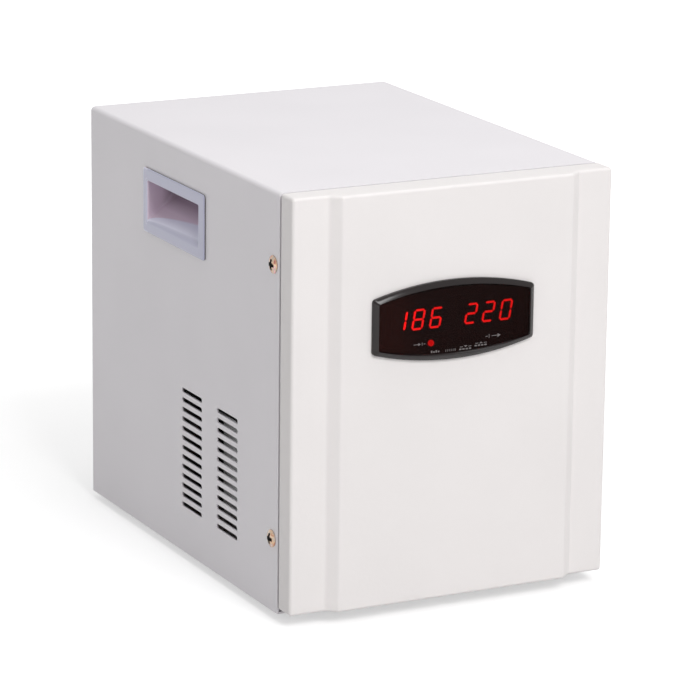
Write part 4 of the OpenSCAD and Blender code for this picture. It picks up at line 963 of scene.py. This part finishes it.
def caption_shapes(kind, w, h):
    """Plain signs for the captions: an arrow in, an arrow out, a row of tall and short bars, a row of strokes, and
    low and high levels.
    """
    s, half = STROKE_W, w / 2
    box = lambda x, wide, z0=-h / 2, z1=h / 2: stroke_box(x, x + wide, z0, z1)
    arrow = lambda x: [
        (x, -s / 2), (x + 0.4 * w, -s / 2), (x + 0.4 * w, -h / 2), (x + 0.6 * w, 0), (x + 0.4 * w, h / 2),
        (x + 0.4 * w, s / 2), (x, s / 2)
    ]
    if kind == "in":
        return [arrow(-half), box(half - 0.3 * w, s), box(half - 0.15 * w, 0.15 * w, -s / 2, s / 2)]
    if kind == "out":
        return [box(-half, 0.15 * w, -s / 2, s / 2), box(-half + 0.22 * w, s), arrow(half - 0.6 * w)]
    if kind == "plain":
        return [box(-half + i * w / 4, 0.16 * w, z1=h / 2 - (i % 2) * h / 3) for i in range(4)]
    if kind == "timed":
        return [box(-half + i * w / 5, s) for i in range(5)] + [box(half - s, s)]
    top = [(-half * 0.3, 0.1 * h), (half * 0.3, 0.1 * h), (0, h / 2)]
    if kind == "low":
        top = [(-half * 0.3, h / 2), (0, 0.1 * h), (half * 0.3, h / 2)]
    base = [box(-half + i * w / 4, 0.18 * w, z1=0.35 * h - h / 2) for i in range(4)]
    return [top] + base + [box(side * half * 0.65 - 0.12 * w, 0.24 * w, 0.15 * h, 0.15 * h + s) for side in SIDES]


def make_captions():
    for name, kind, *spot in CAPTIONS:
        x, z, w, h = (value * MM for value in spot)
        place = front_place(WINDOW_LO.y, x, z)
        shapes = caption_shapes(kind, w, h)
        raised_marks(f"caption_{name}", shapes, place, CAPTION_FORM, "smoked_window", MARK_GREY)


# Side handles
def lip(sunk, r):
    """How far a rounded lip has turned in where its surface lies this far behind its front."""
    return r if sunk >= r else sqrt(r * r - (r - sunk) ** 2)


def ramp_z(sunk):
    """Height of the recess's floor: a rounded lip, a straight ramp and a hollow that meets the back."""
    lean = pi / 2 - atan(RAMP_RISE)
    if sunk < LIP_R * (1 - cos(lean)):
        return CUP_Z0 - LIP_R * tan(lean / 2) + lip(sunk, LIP_R)
    return CUP_Z0 + RAMP_RISE * sunk + HOLLOW_BEND * max(0.0, sunk - HOLLOW_START) ** 2


def handle_rings():
    """Rings round the recess, from the middle of its outer back to the middle of its inner back."""
    y0, y1, z0, z1 = HANDLE_BOX
    back_z = CUP_Z0 + CUP_RISE - CUP_WALL
    top_z = CUP_Z1 + CUP_HOOK + CUP_WALL
    cy0, cy1 = CUP_Y0 - CUP_WALL, CUP_Y1 + CUP_WALL
    rings = [
        (-CUP_D, cy0, cy1, back_z, top_z, 2 * MM),
        (SHADOW_SHEET_T, cy0, cy1, CUP_Z0 - CUP_WALL, top_z, 2 * MM),
        (SHADOW_SHEET_T, y0, y1, z0, z1, FLANGE_R)
    ]
    for (low, _), (_, inset) in zip(rounding(FLANGE_EDGE, 5), rounding(FLANGE_SLOPE, 5)):
        rings.append((FLANGE_T - low, y0 + inset, y1 - inset, z0 + inset, z1 - inset, FLANGE_R))
    for w, out in ((BEAD_W, 0), (0.75 * BEAD_W, BEAD_H), (0.3 * BEAD_W, BEAD_H)):
        rings.append((
            FLANGE_T + out, CUP_Y0 - FRONT_LIP_R - w, CUP_Y1 + REAR_LIP_R + w,
            ramp_z(0) - w, CUP_Z1 + TOP_LIP_R + w, 1.6 * MM
        ))
    for sunk in (0, 0.03, 0.1, 0.22, 0.4, 0.6, 0.8, 1.1, 1.5, 2.1, 2.8):
        sunk *= MM
        rings.append((
            FLANGE_T - sunk, CUP_Y0 - FRONT_LIP_R + lip(sunk, FRONT_LIP_R),
            CUP_Y1 + REAR_LIP_R - lip(sunk, REAR_LIP_R), ramp_z(sunk),
            CUP_Z1 + TOP_LIP_R - lip(sunk, TOP_LIP_R), 1.2 * MM
        ))
    deep = CUP_D - CUP_WALL + FLANGE_T
    sunk = 3 * MM
    steps = 20
    for i in range(steps + 1):
        at = sunk + (deep - sunk) * i / steps
        r = (1 + 3 * max(0.0, min(1.0, (at / MM - 10) / 8))) * MM
        rings.append((FLANGE_T - at, CUP_Y0, CUP_Y1, ramp_z(at), CUP_Z1 + CUP_HOOK, r))
    return rings


def make_handle(name, side):
    node = f"handle_{name}"
    place = facing(side)
    bm = bmesh.new()
    rings = [placed(place, ring_rect(y0, y1, z0, z1, r), -out) for out, y0, y1, z0, z1, r in handle_rings()]
    loft(bm, rings, capped=True)
    make_piece(f"grip_{name}", bm, "handle_plastic", node, sharp=GRIP_ANGLE)
    # Painted shade: a dark sheet under the flange draws the shadow line round its edge
    bm = bmesh.new()
    outline = lambda w: ring_grown(HANDLE_BOX, -SHADOW_SHEET_INSET - w, FLANGE_R)
    hole = lambda grow: ring_grown(CUP_BOX, CUP_WALL + grow, 2 * MM)
    plate(bm, outline, [hole], THIN_EDGE, SHADOW_SHEET_T, lambda u, v, depth: place(u, v, depth - SHADOW_SHEET_T))
    make_piece(f"grip_{name}_shadow_sheet", bm, "foot_rubber", node)


# Cover screws
def cross_cutter(place, top):
    """A tapered cross, as the recess of a cross-head screw."""
    bm = bmesh.new()
    for turn in (0, pi / 2):
        rings = []
        for long, wide, h in ((*CROSS_FLOOR, top - CROSS_DEEP), (*CROSS_MOUTH, top + 0.2 * MM)):
            corners = turned([(long, -wide), (long, wide), (-long, wide), (-long, -wide)], turn)
            rings.append(placed(place, corners, h))
        loft(bm, rings, capped=True)
    return mesh_object("cutter", bm)


def cut_away(piece, cutter):
    """The piece's mesh without the cutter's space."""
    change = piece.modifiers.new("cut", "BOOLEAN")
    change.object = cutter
    change.operation = "DIFFERENCE"
    change.use_self = True
    piece.modifiers.move(len(piece.modifiers) - 1, 0)
    depsgraph = bpy.context.evaluated_depsgraph_get()
    weighted = piece.modifiers["weighted"]
    weighted.show_viewport = False
    depsgraph.update()
    made = bpy.data.meshes.new_from_object(piece.evaluated_get(depsgraph))
    piece.modifiers.remove(change)
    weighted.show_viewport = True
    piece.data = made
    made.set_sharp_from_angle(angle=radians(SMOOTH_ANGLE))
    bpy.data.objects.remove(cutter)


def make_cover_screws():
    rim, steps = DOME_RIM, 10
    bow = (DOME_R ** 2 + (DOME_H - rim) ** 2) / (2 * (DOME_H - rim))
    profile = [
        (0, -SCREW_L), (THREAD_R * 0.7, -SCREW_L), (THREAD_R, 0.6 * MM - SCREW_L), (THREAD_R, 0),
        (DOME_R - 0.15 * MM, 0), (DOME_R, 0.15 * MM), (DOME_R, rim)
    ]
    for i in range(1, steps + 1):
        r = DOME_R * (1 - i / steps)
        profile.append((r, sqrt(bow ** 2 - r ** 2) - bow + DOME_H))
    for side, side_name in zip(SIDES, ("left", "right")):
        for level, z in zip(("low", "high"), SCREW_ZS):
            bm = bmesh.new()
            place = lambda u, v, h: Vector((side * (HALF_W + h), Y_COVER + SCREW_BACK + u, z + v))
            lathe(bm, profile, place, 40)
            piece = make_piece(f"dome_screw_{side_name}_{level}", bm, "gold_zinc", "cover_screws")
            cut_away(piece, cross_cutter(place, DOME_H))
            # Faces inside the cross recess take the near-black finish
            piece.data.materials.append(FINISHES["screw_recess"])
            hub = place(0, 0, DOME_H - bow)
            for face in piece.data.polygons:
                below_dome = (face.center - hub).length < bow - 0.06 * MM
                if below_dome and abs(face.center.x) > HALF_W + 0.6 * MM:
                    face.material_index = 1


# Nodes that keep their own mesh
def soften(node, width, angle=40):
    """Rounds a CAD node's sharp edges a little, with modifiers on top of its own mesh."""
    piece = frame["nodes"][node]
    weld = piece.modifiers.new("weld", "WELD")
    weld.merge_threshold = WELD
    bevel = piece.modifiers.new("bevel", "BEVEL")
    bevel.width = width
    bevel.segments = 2
    bevel.limit_method = "ANGLE"
    bevel.angle_limit = radians(angle)
    bevel.harden_normals = False
    piece.modifiers.new("weighted", "WEIGHTED_NORMAL")


def dress_nodes():
    for name, node in frame["nodes"].items():
        node.data.materials.clear()
        node.data.materials.append(FINISHES[SLOT_OF[name]])
    frame["nodes"]["display_board"].data.materials[0] = FINISHES["module_black"]
    soften("rear_screws", 0.2 * MM)


# Rear fittings
def hexagonal(r, a):
    """How far a hexagon whose corners lie at radius r falls short of them at an angle."""
    sixth = pi / 3
    return r * (cos(sixth / 2) / cos(a % sixth - sixth / 2) - 1)


def rear_lathe(name, profile, slot, node, body="cabinet", ripple=None, steps=96):
    """A turned piece about a node's middle, from (radius, height out of the rear) pairs in mm."""
    bm = bmesh.new()
    middle = spans(node)[2]
    place = front_place(Y_REAR, middle.x, middle.z)
    lathe(bm, [(r * MM, h * MM) for r, h in profile], place, steps, ripple)
    make_piece(name, bm, slot, node, body)


def make_breaker():
    low, high, middle, half = spans("breaker_body")
    place = rear_place(high.y, middle.x, middle.z)
    nose = lambda w: ring_about(half.x - w, NOSE_H / 2 - w, BREAKER_R)
    body = ring_about(half.x, half.z, BREAKER_R)
    well = lambda grow: ring_about(SLOT_W / 2 + grow, NOSE_SLOT_H / 2 + grow, 1 * MM)
    bm = bmesh.new()
    rows = stepped_wall(bm, nose, NOSE_EDGE, high.y - Y_REAR + SHEET, body, high.y - low.y, place)
    bm.faces.new(rows[-1])
    walls = hole_walls(bm, well, MOUTH_EDGE, NOSE_SLOT_D, place)
    bm.faces.new(walls[-1])
    fill(bm, [rows[0], walls[0]])
    pivot_y = high.y - TOGGLE_SET
    pivot = across_place(middle.x, pivot_y, middle.z)
    reach = SLOT_W / 2 + 0.2 * MM
    lathe(bm, [(0, -reach), (PIN_R, -reach), (PIN_R, reach), (0, reach)], pivot, 24)
    make_piece("breaker_case", bm, "breaker_grey", "breaker_body")
    bar = stroke_box(-0.35 * MM, 0.35 * MM, MARK_RISE - 2.2 * MM, MARK_RISE + 2.2 * MM)
    inner, outer = (ring_circle(0, -MARK_RISE, r, 12) for r in (1.6 * MM, 2.3 * MM))
    arcs = [[inner[k - 1], outer[k - 1], outer[k], inner[k]] for k in (*range(1, 12), 0)]
    for name, shapes in (("on", [bar]), ("off", arcs)):
        raised_marks(f"breaker_{name}_mark", shapes, place, MARK_FORM, "breaker_grey", MARK_DARK)
    make_toggle(across_place(middle.x - TOGGLE_W / 2, pivot_y, middle.z))


def toggle_outline(w):
    """The toggle's side view, drawn in by w: a round hub with a paddle that has a rounded tip."""
    hub, half, tip = TOGGLE_R - w, TOGGLE_T / 2 - w, TOGGLE_L - w
    r = half * 0.85
    meet = asin(half / hub)
    turns = [meet + (2 * pi - 2 * meet) * i / 24 for i in range(25)]
    points = [(hub * cos(a), hub * sin(a)) for a in turns]
    for side, order in ((-1, quarter(5)), (1, quarter(5)[::-1])):
        points += [(tip - r + r * sin(a), side * (half - r + r * cos(a))) for a in order]
    return turned(points, radians(TOGGLE_TILT))


def make_toggle(place):
    bm = bmesh.new()
    ends = rounding(TOGGLE_EDGE)[::-1]
    ends += [(TOGGLE_W - out, w) for out, w in reversed(ends)]
    rows = loft(bm, [placed(place, toggle_outline(w), depth) for depth, w in ends])
    hole = ring_circle(0, 0, PIN_R + 0.05 * MM)
    bore = loft(bm, [placed(place, hole, depth) for depth in (0, TOGGLE_W)])
    fill_ends(bm, [rows, bore])
    make_piece("breaker_paddle", bm, "black_plastic", "breaker_toggle", "toggle")


def make_sockets():
    low, high, middle, half = spans("output_sockets")
    r, flange_t, deep = half.z, high.y - Y_REAR, high.y - low.y
    face = lambda w: ring_about(r - w, r - w, SOCKET_R)
    body = ring_about(SOCKET_BODY_W / 2, SOCKET_BODY_W / 2, 1 * MM)
    pins = ((-PIN_PITCH / 2, 0, PIN_HOLE_R), (PIN_PITCH / 2, 0, PIN_HOLE_R), (0, EARTH_RISE, EARTH_HOLE_R))
    for name, x in (("left", high.x - r), ("right", low.x + r)):
        bm = bmesh.new()
        place = rear_place(high.y, x, middle.z)
        rows = stepped_wall(bm, face, SOCKET_EDGE, flange_t, body, deep, place, 4)
        groove = loft(bm, [
            placed(place, ring_circle(0, 0, ring_r * MM, 64), depth * MM) for ring_r, depth in SOCKET_GROOVE
        ])
        holes = [lambda grow, pin=pin: ring_circle(*pin[:2], pin[2] + grow) for pin in pins]
        walls = [hole_walls(bm, hole, MOUTH_EDGE, deep, place) for hole in holes]
        fill(bm, [rows[0], groove[0]])
        fill_ends(bm, [(groove[-1], rows[-1])] + walls)
        make_piece(f"socket_{name}", bm, "socket_plastic", "output_sockets")


def make_gland():
    def shape(r, h, a):
        if 0 <= h <= 5.01 * MM and r > 11.5 * MM or h < -1 * MM and r > 12 * MM:
            return hexagonal(r, a)
        return -0.35 * MM * (0.5 - 0.5 * cos(24 * a)) if r > 11.3 * MM else 0
    case = [
        (5, -13.2), (8.7, -13.2), (9, -12.9), (9, 0), (12.6, 0), (13, 0.4), (13, 4.4), (12.4, 5), (10.6, 5),
        (11.2, 5.5), (11.4, 6.2), (11.4, 16), (11.1, 17.4), (10.3, 19), (9, 20.5), (7.6, 21.5), (6.4, 22),
        (5.6, 21.9), (5.1, 21.4), (5, 20.6), (5, -13.2)
    ]
    nut = [(9.05, -5.2), (12.6, -5.2), (13, -4.8), (13, -1.6), (12.6, -1.2), (9.05, -1.2), (9.05, -5.2)]
    for name, profile in (("gland_case", case), ("gland_locknut", nut)):
        rear_lathe(name, profile, "black_plastic", "cable_gland", ripple=shape)


def make_button():
    bush = [
        (0, -19.2), (6.8, -19.2), (7.05, -18.9), (7.05, 0), (9.3, 0), (9.55, 0.25), (9.55, 1.2), (9.3, 1.7),
        (8.7, 2), (6.3, 2), (5.8, 1.8), (5.55, 1.4), (5.55, -17.7), (0, -17.7)
    ]
    grip = lambda r, h, a: -0.2 * MM * (0.5 - 0.5 * cos(30 * a)) if r > 9 * MM and h < 1.5 * MM else 0
    rear_lathe("button_bush", bush, "black_plastic", "button_housing", ripple=grip)
    cap = [
        (0, -8), (5.3, -8), (5.5, -7.8), (5.5, 5), (5.3, 5.5), (4.9, 5.85), (4.4, 6), (3.9, 5.92), (3, 5.7),
        (1.5, 5.58), (0, 5.55)
    ]
    rear_lathe("button_cap", cap, "button_red", "delay_button", "button", steps=48)


def make_earth():
    """The earth stud and its nut, with its sign printed beside it."""
    head = lambda r, h, a: hexagonal(r, a) if r > 4 * MM else 0
    bolt = [(0, -5.2), (5.6, -5.2), (6, -4.9), (6, -1.5), (5.7, -1.2), (3, -1.2), (3, 4)]
    foot, pitch, top = 4.2, 0.8, 15.2
    for k in range(int((top - foot) / pitch)):
        bolt += [(2.12, foot + k * pitch), (2.5, foot + (k + 0.5) * pitch)]
    bolt += [(2.1, top), (1.7, 16), (0, 16)]
    nut = [(3.05, 0.3), (3.3, 0), (4.9, 0), (5.19, 0.35), (5.19, 3.5), (4.7, 4), (3.5, 4), (3.05, 3.7), (3.05, 0.3)]
    for name, profile in (("earth_bolt", bolt), ("earth_nut", nut)):
        rear_lathe(name, profile, "brass_parts", "earth_stud", ripple=head)
    bars = [(3.2, -0.3, 0.3), (2.1, -1.8, -1.2), (1, -3.3, -2.7), (0.3, 0.3, 3.6)]
    sign = [stroke_box(-half * MM, half * MM, low * MM, high * MM) for half, low, high in bars]
    middle = spans("earth_stud")[2]
    place = rear_place(Y_REAR, middle.x - EARTH_SIGN_AWAY, middle.z)
    raised_marks("earth_sign", sign, place, MARK_FORM, "cover_paint", MARK_DARK)


# Feet
def make_feet():
    low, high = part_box("feet")
    profile = [
        (2.1, 5), (10.7, 5), (11, 4.7), (10.9, 3.9), (10.6, 3.7), (10.75, 3.3), (10.5, 2.5), (10.15, 2.3),
        (10.25, 1.9), (9.8, 0.7), (9.3, 0.15), (8.7, 0), (5, 0), (4.6, 0.2), (4.5, 0.5), (4.5, 3), (2.1, 3), (2.1, 5)
    ]
    for x_name, x in (("left", low.x + FOOT_R), ("right", high.x - FOOT_R)):
        for y_name, y in (("front", low.y + FOOT_R), ("rear", high.y - FOOT_R)):
            bm = bmesh.new()
            lathe(bm, [(r * MM, h * MM) for r, h in profile], up_place(x, y), 48)
            make_piece(f"foot_{y_name}_{x_name}", bm, "foot_rubber", "feet")


# Windings
def inward(points):
    """Outline points with the parts of their inward normals."""
    found = []
    for i, (r, z) in enumerate(points):
        a, b = points[i - 1], points[(i + 1) % len(points)]
        along = Vector((b[0] - a[0], b[1] - a[1])).normalized()
        found.append((r, z, -along.y, along.x))
    return found


def make_toroid_winding():
    low, high, middle, half = spans("toroid_winding")
    r1, t = half.x, WINDING_T
    outer = ring_rect(TOROID_HOLE_R, r1, low.z, high.z, 4 * MM, 5)
    inner = ring_rect(TOROID_HOLE_R + t, r1 - t, low.z + t, high.z - t, 1 * MM, 2)
    count = TOROID_TURNS * WIRE_STEPS
    bm = bmesh.new()
    for points, depth in ((inward(outer), WIRE_DIP), (inward(inner), 0.0)):
        rings = []
        for i in range(count):
            a = 2 * pi * i / count
            dip = depth * (0.5 - 0.5 * cos(2 * pi * (i % WIRE_STEPS) / WIRE_STEPS))
            rings.append([
                middle + Vector(((r + nr * dip) * cos(a), (r + nr * dip) * sin(a), z + nz * dip - middle.z))
                for r, z, nr, nz in points
            ])
        loft(bm, rings + rings[:1])
    make_piece("toroid_wires", bm, "copper_winding", "toroid_winding", sharp=WIRE_ANGLE)


def make_transformer_winding():
    low, high, middle, half = spans("transformer_winding")
    place = up_place(middle.x, middle.y)
    hole = ring_about(BOBBIN_X, BOBBIN_Y, 0.5 * MM)
    count = COIL_TURNS * WIRE_STEPS
    bm = bmesh.new()
    rings = []
    for i in range(count + 1):
        dip = WIRE_DIP * (0.5 + 0.5 * cos(2 * pi * (i % WIRE_STEPS) / WIRE_STEPS))
        ring = ring_about(half.x - dip, half.y - dip, 4 * MM)
        rings.append(placed(place, ring, low.z + (high.z - low.z) * i / count))
    rows = loft(bm, rings)
    bore = loft(bm, [placed(place, hole, z) for z in (low.z, high.z)])
    fill_ends(bm, [rows, bore])
    make_piece("transformer_wires", bm, "copper_winding", "transformer_winding", sharp=WIRE_ANGLE)


# Stage
def seen_share(tree):
    """1 for what the camera sees, also by gloss or through glass, and 0 for light on the object."""
    path = add_node(tree, "ShaderNodeLightPath").outputs
    seen = math_node(tree, "MAXIMUM", path["Is Camera Ray"], path["Is Glossy Ray"])
    return math_node(tree, "MAXIMUM", seen, path["Is Transmission Ray"])


def make_floor():
    material, tree = new_material("floor")
    reach = add_node(tree, "ShaderNodeVectorMath", {0: coordinates(tree)}, operation="LENGTH").outputs["Value"]
    glow = spread(tree, reach, FLOOR_GLOW, 1.0, GLOW_NEAR, GLOW_FAR)
    strength = math_node(tree, "MULTIPLY", seen_share(tree), glow)
    more = {"Emission Color": WHITE, "Emission Strength": strength}
    dress(material, FLOOR_GREY, 1.0, specular=0.0, more=more)
    half = FLOOR_HALF
    mesh = bpy.data.meshes.new("floor")
    mesh.from_pydata([(-half, -half, 0), (half, -half, 0), (half, half, 0), (-half, half, 0)], [], [(0, 1, 2, 3)])
    mesh.materials.append(material)
    add_object("floor", mesh)


def make_world():
    world = bpy.data.worlds.new("studio")
    world.use_nodes = True
    SCENE.world = world
    tree = world.node_tree
    level = spread(tree, seen_share(tree), FILL_LIGHT, 1.0, 0.0, 1.0)
    feed(tree.nodes["Background"], {"Color": WHITE, "Strength": level})


def make_light(name, at, size, power):
    """A square lamp that points at the object's middle."""
    data = bpy.data.lights.new(name, "AREA")
    data.shape = "SQUARE"
    data.size = size
    data.energy = power
    light = add_object(name, data)
    light.location = at
    light.rotation_euler = (LIGHT_TARGET - Vector(at)).to_track_quat("-Z", "Y").to_euler()


make_cover()
make_panel()
make_bezel()
make_window()
make_segments()
make_captions()
make_lamps()
make_handle("left", -1)
make_handle("right", 1)
make_cover_screws()
make_breaker()
make_sockets()
make_gland()
make_button()
make_earth()
make_feet()
make_toroid_winding()
make_transformer_winding()
dress_nodes()
make_floor()
make_world()
for light in LIGHTS:
    make_light(*light)

SCENE.view_settings.view_transform = "Standard"
